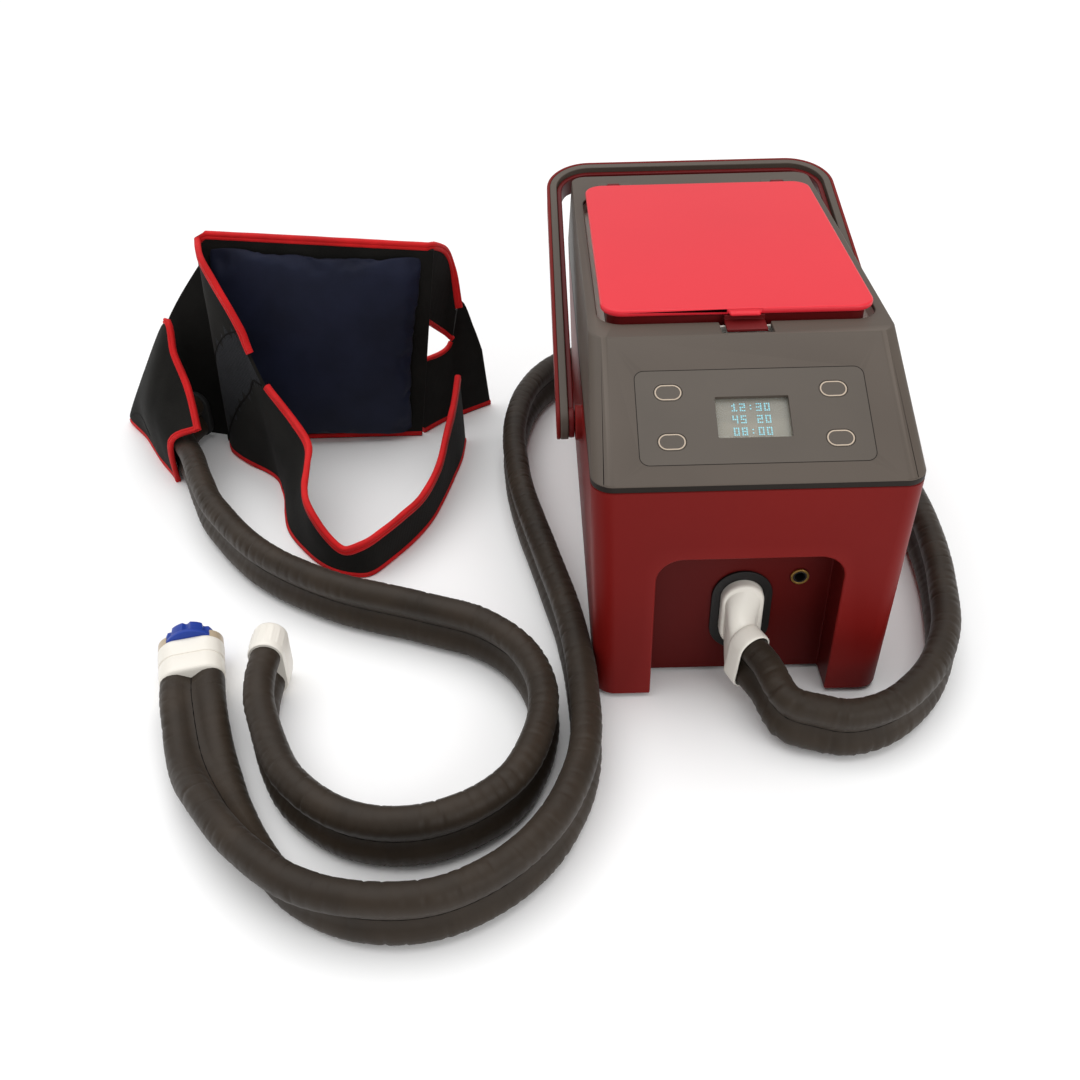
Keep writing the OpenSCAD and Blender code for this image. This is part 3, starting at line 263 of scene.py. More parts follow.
def newMaterial(name, base, group, scales, rough=0.5, vary=0.12, bump=0.1, depth=0.2, metallic=0,
                sheen=0, coat=0, edgeHighlight=0, specular=0.5):
    material = bpy.data.materials.new(name)
    material.use_nodes = True
    tree = material.node_tree
    shader = tree.nodes["Principled BSDF"]
    shader.inputs["Roughness"].default_value = rough
    shader.inputs["Metallic"].default_value = metallic
    shader.inputs["Specular IOR Level"].default_value = specular
    shader.inputs["Sheen Weight"].default_value = sheen
    shader.inputs["Coat Weight"].default_value = coat
    shader.inputs["Coat Roughness"].default_value = 0.25
    detail = tree.nodes.new("ShaderNodeGroup")
    detail.node_tree = groups[group]
    for socket, value in zip(detail.inputs, scales):
        socket.default_value = value
    tint = tree.nodes.new("ShaderNodeValToRGB")
    tint.color_ramp.elements[0].position = 0.3
    tint.color_ramp.elements[1].position = 0.7
    tint.color_ramp.elements[0].color = [c * (1 - vary) for c in base[:3]] + [1]
    tint.color_ramp.elements[1].color = [min(1, c * (1 + vary)) for c in base[:3]] + [1]
    tree.links.new(detail.outputs["Blotch"], tint.inputs["Fac"])
    lastColour = tint.outputs["Color"]
    # painted highlight: convex edges, found by pointiness, are made lighter
    if edgeHighlight > 0:
        place = tree.nodes.new("ShaderNodeNewGeometry")
        edge = tree.nodes.new("ShaderNodeMapRange")
        edge.inputs["From Min"].default_value = 0.5
        edge.inputs["From Max"].default_value = 0.62
        edge.inputs["To Max"].default_value = edgeHighlight
        tree.links.new(place.outputs["Pointiness"], edge.inputs["Value"])
        highlitEdges = tree.nodes.new("ShaderNodeMix")
        highlitEdges.data_type = "RGBA"
        highlitEdges.inputs["B"].default_value = [min(1, c * 1.8 + 0.02) for c in base[:3]] + [1]
        tree.links.new(edge.outputs["Result"], highlitEdges.inputs["Factor"])
        tree.links.new(lastColour, highlitEdges.inputs["A"])
        lastColour = highlitEdges.outputs["Result"]
    tree.links.new(lastColour, shader.inputs["Base Color"])
    relief = tree.nodes.new("ShaderNodeBump")
    relief.inputs["Strength"].default_value = bump
    relief.inputs["Distance"].default_value = depth * mm
    tree.links.new(detail.outputs["Height"], relief.inputs["Height"])
    tree.links.new(relief.outputs["Normal"], shader.inputs["Normal"])
    return material


def makeMaterials():
    made = {}
    made["red_shell"] = newMaterial("redShell", colour(112, 19, 16), "grain", (1500, 9), rough=0.42,
                                    vary=0.06, bump=0.3, depth=0.05, edgeHighlight=0.4, specular=0.1)
    # a darker copy of the red shell: painted shade for the faces inside the front recess
    made["recess_red"] = newMaterial("recessPaintedShade", colour(84, 15, 13), "grain", (1500, 9), rough=0.45,
                                     vary=0.06, bump=0.3, depth=0.05, specular=0.1)
    made["bright_red"] = newMaterial("brightRed", colour(222, 38, 52), "grain", (1300, 8), rough=0.36,
                                     vary=0.03, bump=0.15, depth=0.04, edgeHighlight=0.3, specular=0.3)
    made["dark_red"] = newMaterial("darkRed", colour(96, 16, 17), "grain", (1300, 12), rough=0.4,
                                   vary=0.06, bump=0.2, depth=0.05, edgeHighlight=0.35, specular=0.16)
    made["warm_grey"] = newMaterial("warmGrey", colour(82, 73, 65), "grain", (1100, 11), rough=0.48,
                                    vary=0.07, bump=0.4, depth=0.08, edgeHighlight=0.35, specular=0.25)
    made["black_plastic"] = newMaterial("blackPlastic", colour(22, 20, 19), "grain", (1200, 14),
                                        rough=0.45, vary=0.1, bump=0.25, depth=0.06, edgeHighlight=0.4,
                                        specular=0.25)
    made["overlay_film"] = newMaterial("overlayFilm", colour(82, 74, 66), "grain", (2200, 20),
                                       rough=0.4, vary=0.05, bump=0.25, depth=0.03, specular=0.3)
    made["lcd"] = newMaterial("displayFace", colour(112, 98, 66), "grain", (2500, 40), rough=0.35,
                              vary=0.08, bump=0.05, depth=0.02)
    made["board_green"] = newMaterial("boardGreen", colour(30, 96, 52), "grain", (1500, 60), rough=0.35,
                                      vary=0.15, bump=0.3, depth=0.05)
    made["steel"] = newMaterial("zincSteel", colour(178, 178, 182), "grain", (2600, 80), rough=0.35,
                                vary=0.08, bump=0.2, depth=0.03, metallic=1)
    made["white_plastic"] = newMaterial("whitePlastic", colour(236, 231, 221), "grain", (900, 16),
                                        rough=0.3, vary=0.02, bump=0.12, depth=0.04, specular=0.35)
    made["foam_white"] = newMaterial("whiteFoam", colour(226, 226, 222), "grain", (1600, 30), rough=0.9,
                                     vary=0.05, bump=0.8, depth=0.4)
    made["black_rubber"] = newMaterial("blackRubber", colour(26, 26, 26), "grain", (900, 20), rough=0.7,
                                       vary=0.1, bump=0.3, depth=0.08)
    made["blue_plastic"] = newMaterial("bluePlastic", colour(34, 62, 150), "grain", (900, 16),
                                       rough=0.38, vary=0.05, bump=0.15, depth=0.04, edgeHighlight=0.3,
                                       specular=0.25)
    made["brass"] = newMaterial("brass", colour(190, 152, 84), "grain", (2400, 60), rough=0.3,
                                vary=0.1, bump=0.15, depth=0.02, metallic=1)
    made["alu"] = newMaterial("castAluminium", colour(170, 170, 174), "grain", (1400, 50), rough=0.5,
                              vary=0.08, bump=0.4, depth=0.08, metallic=1)
    made["hose_sleeve"] = newMaterial("hoseSleeve", colour(47, 38, 29), "sleeve", (24, 1700), rough=0.5,
                                      vary=0.22, bump=0.6, depth=0.5, sheen=0.04, specular=0.22)
    made["navy_fabric"] = newMaterial("navyFabric", colour(24, 28, 46), "weave", (420, 22), rough=0.6,
                                      vary=0.25, bump=0.35, depth=0.25, sheen=0.03, specular=0.14)
    made["black_fabric"] = newMaterial("blackFabric", colour(25, 24, 22), "weave", (300, 26), rough=0.85,
                                       vary=0.3, bump=0.6, depth=0.3, sheen=0.02, specular=0.1)
    made["mesh_fabric"] = newMaterial("meshFabric", colour(33, 34, 37), "weave", (210, 26), rough=0.8,
                                      vary=0.3, bump=0.9, depth=0.5, sheen=0.03, specular=0.1)
    made["red_binding"] = newMaterial("redBinding", colour(200, 26, 28), "weave", (520, 40), rough=0.55,
                                      vary=0.15, bump=0.5, depth=0.2, sheen=0.02, specular=0.15)
    made["white_fabric"] = newMaterial("whiteFabric", colour(205, 204, 200), "weave", (900, 60),
                                       rough=0.6, vary=0.06, bump=0.3, depth=0.1)
    made["lip_black"] = newMaterial("lipBlack", colour(32, 26, 22), "grain", (1100, 12), rough=0.5,
                                    vary=0.08, bump=0.3, depth=0.06, specular=0.15)
    made["seam_thread"] = newMaterial("seamThread", colour(16, 14, 13), "grain", (900, 90), rough=0.8,
                                      vary=0.2, bump=0.5, depth=0.1, specular=0.1)
    made["button_ring"] = newMaterial("buttonRing", colour(186, 168, 148), "grain", (2200, 30),
                                      rough=0.45, vary=0.04, bump=0.1, depth=0.02)
    made["lit_dots"] = newMaterial("litDots", colour(150, 226, 240), "grain", (2200, 30), rough=0.4,
                                   vary=0.03, bump=0.05, depth=0.02)
    made["tan_ring"] = newMaterial("tanRing", colour(190, 172, 146), "grain", (1500, 30), rough=0.35,
                                   vary=0.05, bump=0.1, depth=0.03)
    return made


def makeGlass():
    material = bpy.data.materials.new("clearWindow")
    material.use_nodes = True
    tree = material.node_tree
    shader = tree.nodes["Principled BSDF"]
    shader.inputs["Base Color"].default_value = (0.85, 0.9, 0.88, 1)
    shader.inputs["Alpha"].default_value = 0.18
    shader.inputs["Coat Weight"].default_value = 0.4
    smudge = tree.nodes.new("ShaderNodeTexNoise")
    smudge.inputs["Scale"].default_value = 60
    spread = tree.nodes.new("ShaderNodeMapRange")
    spread.inputs["To Min"].default_value = 0.08
    spread.inputs["To Max"].default_value = 0.2
    tree.links.new(smudge.outputs["Fac"], spread.inputs["Value"])
    tree.links.new(spread.outputs["Result"], shader.inputs["Roughness"])
    return material


materials = makeMaterials()
materials["clear_window"] = makeGlass()
for row in frame["record"]["subparts"]:
    nodes[row["node"]].data.materials.clear()
    nodes[row["node"]].data.materials.append(materials[row["material_slot"]])
print("materials made")


# camera, light and floor

cameraLook = {
    "place": (-0.1319, -0.7520, 0.5565),
    "yaw": 0.11,        # degrees to the right
    "pitch": 36.94,     # degrees down
    "roll": -1.40,
    "lens": 38.38,
}


def makeCamera():
    yaw, pitch, roll = (math.radians(cameraLook[k]) for k in ("yaw", "pitch", "roll"))
    ahead = Vector((math.sin(yaw) * math.cos(pitch), math.cos(yaw) * math.cos(pitch), -math.sin(pitch)))
    right = Vector((math.cos(yaw), -math.sin(yaw), 0))
    up = right.cross(ahead)
    turnedRight = right * math.cos(roll) + up * math.sin(roll)
    turnedUp = up * math.cos(roll) - right * math.sin(roll)
    turn = Matrix((turnedRight, turnedUp, -ahead)).transposed().to_4x4()
    data = bpy.data.cameras.new("camera")
    data.lens = cameraLook["lens"]
    data.sensor_width = 36
    data.sensor_fit = "HORIZONTAL"
    data.clip_end = 50
    camera = bpy.data.objects.new("camera", data)
    bpy.context.scene.collection.objects.link(camera)
    camera.matrix_world = Matrix.Translation(cameraLook["place"]) @ turn
    bpy.context.scene.camera = camera


studio = {
    "worldLight": 0.56,
    "keyPower": 1.72,        # sun strength, spread wide like a softbox overhead
    "keySpread": 70,         # degrees
    "keyFrom": (-0.18, 0.22, 1),
    "fillPower": 9,          # watts, in front
    "fillSize": (1.2, 0.8),
    "fillPlace": (0.9, -1.3, 0.9),
    "fillTarget": (0, 0, 0.1),
    "floorWhite": 1,
    "floorReach": 12,        # metres each way
    "floorLow": -0.2,        # mm, just under the feet
}


def makeAreaLight(name, power, size, place, target):
    data = bpy.data.lights.new(name, "AREA")
    data.energy = power
    data.shape = "RECTANGLE"
    data.size = size[0]
    data.size_y = size[1]
    light = bpy.data.objects.new(name, data)
    bpy.context.scene.collection.objects.link(light)
    light.location = place
    light.rotation_euler = (Vector(target) - Vector(place)).to_track_quat("-Z", "Y").to_euler()


def makeStudio():
    world = bpy.data.worlds.new("studio")
    world.use_nodes = True
    back = world.node_tree.nodes["Background"]
    back.inputs["Color"].default_value = (1, 1, 1, 1)
    tree = world.node_tree
    rays = tree.nodes.new("ShaderNodeLightPath")
    seen = tree.nodes.new("ShaderNodeMapRange")       # plain white behind the floor, softer as a light
    seen.inputs["To Min"].default_value = studio["worldLight"]
    seen.inputs["To Max"].default_value = 1
    tree.links.new(rays.outputs["Is Camera Ray"], seen.inputs["Value"])
    tree.links.new(seen.outputs["Result"], back.inputs["Strength"])
    bpy.context.scene.world = world
    data = bpy.data.lights.new("keyLight", "SUN")
    data.energy = studio["keyPower"]
    data.angle = math.radians(studio["keySpread"])
    key = bpy.data.objects.new("keyLight", data)
    bpy.context.scene.collection.objects.link(key)
    key.rotation_euler = Vector(studio["keyFrom"]).to_track_quat("Z", "Y").to_euler()
    makeAreaLight("fillLight", studio["fillPower"], studio["fillSize"], studio["fillPlace"],
                  studio["fillTarget"])
    makeFloor()
    bpy.context.scene.view_settings.view_transform = "Standard"


def makeFloor():
    floor = bpy.data.meshes.new("floor")
    reach = studio["floorReach"]
    low = studio["floorLow"] * mm
    corners = [(-reach, -reach, low), (reach, -reach, low), (reach, reach, low), (-reach, reach, low)]
    floor.from_pydata(corners, [], [(0, 1, 2, 3)])
    white = bpy.data.materials.new("floorWhite")
    white.use_nodes = True
    shader = white.node_tree.nodes["Principled BSDF"]
    shader.inputs["Base Color"].default_value = [studio["floorWhite"]] * 3 + [1]
    shader.inputs["Roughness"].default_value = 0.75
    shader.inputs["Specular IOR Level"].default_value = 0.2
    floor.materials.append(white)
    ground = bpy.data.objects.new("floor", floor)
    bpy.context.scene.collection.objects.link(ground)


makeCamera()
makeStudio()
print("camera and studio made")


# the two twin hoses

hoseLook = {
    "lobeRadius": 10,
    "lobePitch": 23,
    "waist": 4.2,        # half thickness of the web between the lobes
    "ringSpacing": 1.3,
    "smoothSteps": 16,       # between two places of a route
    "lookAhead": 9,      # rings, to see which way the hose bends
    "innerWrinkles": 7,      # more of them on the inside of a bend
    "turnedWrinkles": 0.4,       # share of them where the hose is turned on its side
    "wrinkleHeight": 0.5,
    "wrinkleWave": 0.85,
    "creaseStep": 9,
    "creaseDepth": 1.3,
    "creaseWidth": 0.14,     # of a step
    "stitchStep": 7,
    "stitchPucker": 1.9,
    "seamReach": 9,      # how far the stitches pull the cloth
    "threadSpacing": 4,
    "threadRadius": 0.3,
    "girth": 0.11,       # metres of cloth round both lobes
}

frontY = -195
portX = 1.5
exitAt = Vector((portX + 5, frontY - 2, 34))
exitYaw = math.radians(27)
exitDip = math.radians(7)
exitDir = Vector((math.sin(exitYaw) * math.cos(exitDip), -math.cos(exitYaw) * math.cos(exitDip),
                  -math.sin(exitDip)))
couplingAt = Vector((-367, -186, 19))
couplingYaw = math.radians(14)
wrapCouplingAt = Vector((-316, -181, 24))
glandAt = Vector((-438, 165, 23))
glandYaw = math.radians(158)
machineRoute = [
    (22, -236, 28, 0), (42, -243, 24, 0), (62, -246, 22, 0), (86, -239, 22, 0), (107, -223, 22, 0),
    (127, -199, 22, 0), (144, -165, 22, 0), (154, -124, 22, 0), (161, -80, 22, 0), (164, -30, 22, 0),
    (162, 25, 22, 0), (157, 80, 22, 0), (149, 130, 22, 0), (134, 180, 22, 0), (107, 218, 22, 0),
    (60, 240, 22, 0), (0, 247, 22, 0), (-55, 244, 22, 0), (-98, 229, 22, 0), (-124, 203, 22, 0),
    (-142, 160, 22, 0), (-150, 105, 22, 0), (-148, 50, 22, 0), (-141, -3, 22, 0), (-125, -79, 22, 0),
    (-111, -149, 22, 0), (-105, -213, 22, 0), (-107, -268, 22, 0), (-124, -316, 22, 0),
    (-152, -350, 22, 0), (-190, -371, 22, 0), (-230, -373, 22, 0), (-268, -360, 22, -12),
    (-300, -331, 21, -28), (-326, -294, 18, -50), (-347, -253, 13, -80)]
wrapRoute = [
    (-447, 136, 23, 0), (-444, 118, 23, 0), (-435, 98, 22, 0), (-422, 72, 22, 0), (-407, 36, 22, 0),
    (-386, -5, 22, 0), (-341, -62, 22, 0), (-282, -103, 22, 0), (-219, -128, 22, 0), (-172, -149, 22, 0),
    (-142, -182, 22, 0), (-131, -227, 22, 0), (-144, -279, 22, 0), (-172, -309, 22, 0),
    (-210, -322, 22, 0), (-251, -314, 22, 0), (-287, -282, 22, 0), (-310, -232, 22, 0)]


def yawDir(angle):
    return Vector((-math.sin(angle), math.cos(angle), 0))


def hoseEnd(at, along, turn, back):
    return (*(at - along * back), turn)


def hoseSection():
    radius = hoseLook["lobeRadius"]
    half = hoseLook["lobePitch"] / 2
    points = []
    for side in (1, -1):
        for step in range(14):
            angle = math.radians(-38 + step * 256 / 13)
            points.append((side * radius * math.cos(angle), side * (half + radius * math.sin(angle)), 1))
        points.append((-side * hoseLook["waist"], 0, 0))
    return points      # sideways, upwards, and how much the wrinkles move the point


def hoseFrame(line, i):
    before = Vector(line[max(i - 1, 0)][:3])
    after = Vector(line[min(i + 1, len(line) - 1)][:3])
    along = (after - before).normalized()
    side = along.cross(Vector((0, 0, 1))).normalized()
    up = side.cross(along)
    turn = math.radians(line[i][3])
    tall = math.cos(turn) * up + math.sin(turn) * side
    return Vector(line[i][:3]), along, tall.cross(along), tall


def hoseWrinkle(u, v, travel, inner):
    drift = noise.noise(Vector((travel * 0.05, v * 0.05, u * 0.1)))
    ripple = math.sin(travel * hoseLook["wrinkleWave"] + 3 * drift) ** 3
    slack = noise.noise(Vector((travel * 0.035, u * 0.12, v * 0.08)))
    sway = noise.noise(Vector((travel * 0.02, v * 0.03, u * 0.02)))
    place = travel / hoseLook["creaseStep"] + 0.9 * sway
    crease = round(place)
    chance = noise.noise(Vector((crease * 1.7, v * 0.09, u * 0.12 + crease)))
    strength = max(0, 0.25 + inner * 0.8 + chance)
    dent = strength * max(0, 1 - abs(place - crease) / hoseLook["creaseWidth"])
    nearSeam = max(0, 1 - abs(v) / hoseLook["seamReach"])
    pucker = -nearSeam * (0.5 + 0.5 * math.cos(travel * 2 * math.pi / hoseLook["stitchStep"]))
    folds = ripple * min(1.3, 0.12 + inner) + slack - 0.4 + hoseLook["stitchPucker"] * pucker
    return hoseLook["wrinkleHeight"] * folds - hoseLook["creaseDepth"] * dent


def makeHose(name, node, path):
    section = hoseSection()
    size = len(section)
    line = evenly(curveThrough(path, hoseLook["smoothSteps"]), hoseLook["ringSpacing"])
    verts = []
    uvs = []
    for i, point in enumerate(line):
        centre, along, wide, tall = hoseFrame(line, i)
        ahead = (Vector(line[min(i + hoseLook["lookAhead"], len(line) - 1)][:3]) - centre).normalized()
        bend = along.cross(ahead).z       # positive where the hose turns left
        share = 1 if point[3] == 0 else hoseLook["turnedWrinkles"]
        travel = i * hoseLook["ringSpacing"]
        for k, (u, v, moves) in enumerate(section):
            inner = max(0, -u / hoseLook["lobeRadius"] * bend * share) * hoseLook["innerWrinkles"]
            grow = moves * hoseWrinkle(u, v, travel, inner)
            reach = math.hypot(u, v) or 1
            verts.append((centre + wide * (u + grow * u / reach) + tall * (v + grow * v / reach)) * mm)
            uvs.append((k / size * hoseLook["girth"], travel * mm))
    piece = newPiece(name, verts, ringFaces(len(line), size), materials["hose_sleeve"], sharp=75, uvs=uvs)
    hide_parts(node)
    return piece, [tuple(Vector(p[:3]) * mm) for p in line]


def lengthOf(line):
    return sum((Vector(b) - Vector(a)).length for a, b in zip(line, line[1:]))


lockDir = yawDir(couplingYaw)
machinePath = [hoseEnd(exitAt, exitDir, 0, 10), hoseEnd(exitAt, exitDir, 0, -14)] + machineRoute + [
    hoseEnd(couplingAt, lockDir, -90, 24), hoseEnd(couplingAt, lockDir, -90, 0)]
wrapPath = [hoseEnd(glandAt, yawDir(glandYaw), 0, -5), hoseEnd(glandAt, yawDir(glandYaw), 0, -17)]
wrapPath += wrapRoute
wrapPath += [hoseEnd(wrapCouplingAt, yawDir(0), 0, 24), hoseEnd(wrapCouplingAt, yawDir(0), 0, 0)]
machineHose, machineLine = makeHose("machine_hose_sleeve", "machine_hose", machinePath)
wrapHose, wrapLine = makeHose("wrap_hose_sleeve", "wrap_hose", wrapPath)
print("hoses made", round(lengthOf(machineLine), 3), round(lengthOf(wrapLine), 3))


def makeSeamCords(name, path):
    verts = []
    faces = []
    spacing = hoseLook["threadSpacing"]
    line = evenly(curveThrough(path, hoseLook["smoothSteps"]), spacing)
    for side in (1, -1):
        start = len(verts)
        for i in range(len(line)):
            centre, along, wide, tall = hoseFrame(line, i)
            stitch = math.cos(i * spacing * 2 * math.pi / hoseLook["stitchStep"])
            thread = hoseLook["threadRadius"] + 0.12 * stitch
            for k in range(6):
                angle = k * math.pi / 3
                out = side * (hoseLook["waist"] + 0.1) + thread * math.cos(angle)
                offset = wide * out + tall * thread * math.sin(angle)
                verts.append((centre + offset) * mm)
        faces += [tuple(start + v for v in face) for face in ringFaces(len(line), 6)]
    piece = newPiece(name, verts, faces, materials["seam_thread"])
    return piece


machineSeam = makeSeamCords("machine_hose_seam", machinePath)
wrapSeam = makeSeamCords("wrap_hose_seam", wrapPath)


# couplings, cap and elbow

couplingLook = {
    "lockWide": 44,
    "lockTall": 26,
    "lockLength": 30,
    "capRadius": 18.5,
    "capLobes": 8,
    "notchDepth": 1.9,
    "notchWidth": 0.36,      # of half a lobe
    "guardSpread": 62,       # degrees up and down from level
    "guardLength": 10,
    "mouthWide": 24,
    "mouthTall": 47,
    "mouthLength": 22,
    "glandWide": 26,
    "glandTall": 44,
}


def pillRing(centre, across, tall, wide, height, count=48):
    big = max(wide, height)
    small = min(wide, height)
    straight = (big - small) / 2
    ring = []
    for k in range(count):
        angle = (k + 0.5) * 2 * math.pi / count
        u = math.cos(angle) * small / 2
        v = math.sin(angle) * small / 2 + (straight if math.sin(angle) >= 0 else -straight)
        if wide > height:
            u, v = v, -u
        ring.append(centre + across * u + tall * v)
    return ring


def loftPiece(name, rings, material, body="machine", sharp=40):
    verts = [p * mm for ring in rings for p in ring]
    return newPiece(name, verts, ringFaces(len(rings), len(rings[0])), material, body, sharp)


def alongAxis(at, angle):
    ahead = yawDir(angle)
    across = Vector((math.cos(angle), math.sin(angle), 0))
    return at, ahead, across, Vector((0, 0, 1))


def makeLockBody():
    at, ahead, across, up = alongAxis(couplingAt, couplingYaw)
    wide = couplingLook["lockWide"]
    tall = couplingLook["lockTall"]
    profile = [
        (-0.5, -6), (0, -3.2), (0.6, -1.6), (2, -0.6), (5, 0), (13, 0.2), (14, 0), (14.3, -1.2),
        (15.7, -1.2), (16, 0.2), (17, 0.5), (24, 0.7), (26, 1.1), (27, 1.9), (28.4, 2.2), (29.6, 1.8),
        (30, 1), (30, -8)]       # along the axis, and how much larger than the plain size
    rings = [pillRing(at + ahead * t, across, up, wide + min(grow, 1), tall + grow) for t, grow in profile]
    piece = loftPiece("coupling_shell", rings, materials["white_plastic"], sharp=50)
    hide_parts("coupling_body")
    return piece


def makeLockCap():
    at, ahead, across, up = alongAxis(couplingAt, couplingYaw)
    start = couplingLook["lockLength"] + 0.2
    radius = couplingLook["capRadius"]
    lobes = couplingLook["capLobes"]
    profile = [
        (0, 0, -0.2), (0.5, 0, 0.5), (3, 0, 0.5), (3.6, 0, 0), (4, 0.5, -0.3), (4.8, 1, -0.4),
        (8, 1, -0.8), (12, 1, -1.2), (13.2, 1, -1.5), (13.8, 0.9, -2.2), (14, 0.8, -3.6),
        (14, 0.3, -9)]       # along the axis, how deep the notches are, and the growth
    count = 120
    rings = []
    for t, deep, grow in profile:
        ring = []
        for k in range(count):
            angle = k * 2 * math.pi / count
            fromNotch = abs((angle * lobes / (2 * math.pi)) % 1 - 0.5) * 2
            hollow = max(0, 1 - ((1 - fromNotch) / couplingLook["notchWidth"]) ** 2)
            notch = deep * couplingLook["notchDepth"] * hollow
            r = radius + grow - notch
            ring.append(at + ahead * (start + t) + across * r * math.cos(angle) + up * r * math.sin(angle))
        rings.append(ring)
    piece = loftPiece("coupling_fluted_cap", rings, materials["blue_plastic"], "coupling_lock", sharp=45)
    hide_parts("coupling_cap")
    return piece


def makeLockRing():
    at, ahead, across, up = alongAxis(couplingAt, couplingYaw)
    straight = (couplingLook["lockWide"] - couplingLook["lockTall"]) / 2 - 1
    start = couplingLook["lockLength"] - 0.5
    spread = couplingLook["guardSpread"]
    verts = []
    faces = []
    steps = 16
    for side in (1, -1):
        base = len(verts)
        for k in range(steps + 1):
            angle = math.radians(-spread + 2 * spread * k / steps)
            fall = 1 - 0.35 * abs(k / steps - 0.5) * 2
            end = start + couplingLook["guardLength"] * fall
            for t, r in ((start, 13.4), (end, 13.2), (end, 14.1), (start, 14.3)):
                out = across * side * (straight + r * math.cos(angle)) + up * r * math.sin(angle)
                verts.append((at + ahead * t + out) * mm)
        faces += [tuple(base + v for v in face) for face in ringFaces(steps + 1, 4)]
    piece = newPiece("coupling_tan_guards", verts, faces, materials["tan_ring"], sharp=50)
    return piece


def makeMouth():
    at, ahead, across, up = alongAxis(wrapCouplingAt, 0)
    wide = couplingLook["mouthWide"]
    tall = couplingLook["mouthTall"]
    end = couplingLook["mouthLength"]
    profile = [
        (-0.6, -3.2, 0), (-0.8, -1.2, 0), (-0.3, -0.2, 0), (0.8, 0.2, 0), (3, 0.2, 0), (4, 0, 0),
        (4.8, 0, 0.5), (18, -0.2, 0.5), (18.8, -0.2, 0), (20.5, -0.4, 0), (21.6, -1, 0), (end, -2, 0),
        (end, -4, 0), (end - 1.2, -4.8, 0), (10, -5, 0), (10, -16, 0)]       # the last number is the ribs
    rings = []
    count = 96
    for t, grow, rib in profile:
        centre = at + ahead * t
        ring = pillRing(centre, across, up, wide + grow, tall + grow, count)
        for k in range(0, count, 6):
            ring[k] += (ring[k] - centre).normalized() * rib
        rings.append(ring)
    piece = loftPiece("wrap_coupling_shell", rings, materials["white_plastic"], sharp=50)
    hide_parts("wrap_coupling")
    return piece


elbowLook = {
    "portHeight": 55.5,
    "plugWide": 28,
    "plugTall": 52,
    "plugFace": -176,
    "neckWide": (24.5, 22),      # at the plug and at the collar
    "neckTall": (42, 45),
    "neckWaist": (3, 1.5),       # how much narrower and lower halfway
    "neckSteps": 14,
    "neckReach": 9,
    "collarWide": 24,
    "collarTall": 47,
    "neckEnd": 12,       # inside the collar, back from its rim
}


def makePlug():
    face = elbowLook["plugFace"]
    wide = elbowLook["plugWide"]
    tall = elbowLook["plugTall"]
    rings = []
    for back, grow in ((12, 0), (2.6, 0), (1.4, -0.5), (0.5, -1.5), (0, -3.2)):
        centre = Vector((portX, face + back, elbowLook["portHeight"]))
        rings.append(pillRing(centre, Vector((1, 0, 0)), Vector((0, 0, 1)), wide + grow, tall + grow))
    piece = loftPiece("elbow_plug", rings, materials["white_plastic"])
    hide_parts("hose_elbow")


def exitFrame():
    side = Vector((-exitDir.y, exitDir.x, 0)).normalized()
    if side.x < 0:
        side = -side
    up = exitDir.cross(side).normalized()
    if up.z < 0:
        up = -up
    return side, up


def makeNeck(exitSide, exitUp):
    start = Vector((portX, elbowLook["plugFace"] + 1.5, elbowLook["portHeight"] + 2))
    end = exitAt - exitDir * elbowLook["neckEnd"]
    reach = elbowLook["neckReach"]
    steps = elbowLook["neckSteps"]
    rings = []
    for k in range(steps + 1):
        t = k / steps
        ease = t * t * (3 - 2 * t)
        straightOut = start + Vector((0, -reach, 0)) * t
        intoCollar = end - exitDir * reach * (1 - t)
        centre = straightOut.lerp(intoCollar, ease)
        across = Vector((1, 0, 0)).lerp(exitSide, ease).normalized()
        upward = Vector((0, 0, 1)).lerp(exitUp, ease).normalized()
        waist = math.sin(math.pi * t)
        sizes = []
        for (first, last), thinner in zip((elbowLook["neckWide"], elbowLook["neckTall"]),
                                          elbowLook["neckWaist"]):
            sizes.append(first + (last - first) * ease - thinner * waist)
        rings.append(pillRing(centre, across, upward, *sizes))
    piece = loftPiece("elbow_neck", rings, materials["white_plastic"], sharp=60)


def makeCollar(exitSide, exitUp):
    wide = elbowLook["collarWide"]
    tall = elbowLook["collarTall"]
    rings = []
    for back, grow in ((13, -5), (13, -2.4), (12.6, -1), (11.6, -0.3), (10, 0), (2, 0.2), (0.8, 0),
                       (0.2, -0.6), (0, -1.4), (0.2, -2.6), (1, -3), (8, -3.4)):
        rings.append(pillRing(exitAt - exitDir * back, exitSide, exitUp, wide + grow, tall + grow))
    piece = loftPiece("elbow_collar", rings, materials["white_plastic"], sharp=50)


def makeGland():
    at, ahead, across, up = alongAxis(glandAt, glandYaw)
    wide = couplingLook["glandWide"]
    tall = couplingLook["glandTall"]
    rings = [pillRing(at + ahead * t, across, up, wide + grow, tall + grow)
             for t, grow in ((0, -1.2), (0.4, -0.3), (1.2, 0), (3.8, 0), (4.6, -0.4), (5, -1.4))]
    piece = loftPiece("wrap_gland_bush", rings, materials["black_rubber"])
    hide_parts("wrap_hose_gland")


lockShell = makeLockBody()
lockCap = makeLockCap()
lockRing = makeLockRing()
mouthShell = makeMouth()
makePlug()
makeNeck(*exitFrame())
makeCollar(*exitFrame())
makeGland()
print("couplings made")


# the lumbar wrap: stations give a bottom point and a top point, or three rows for the pocket

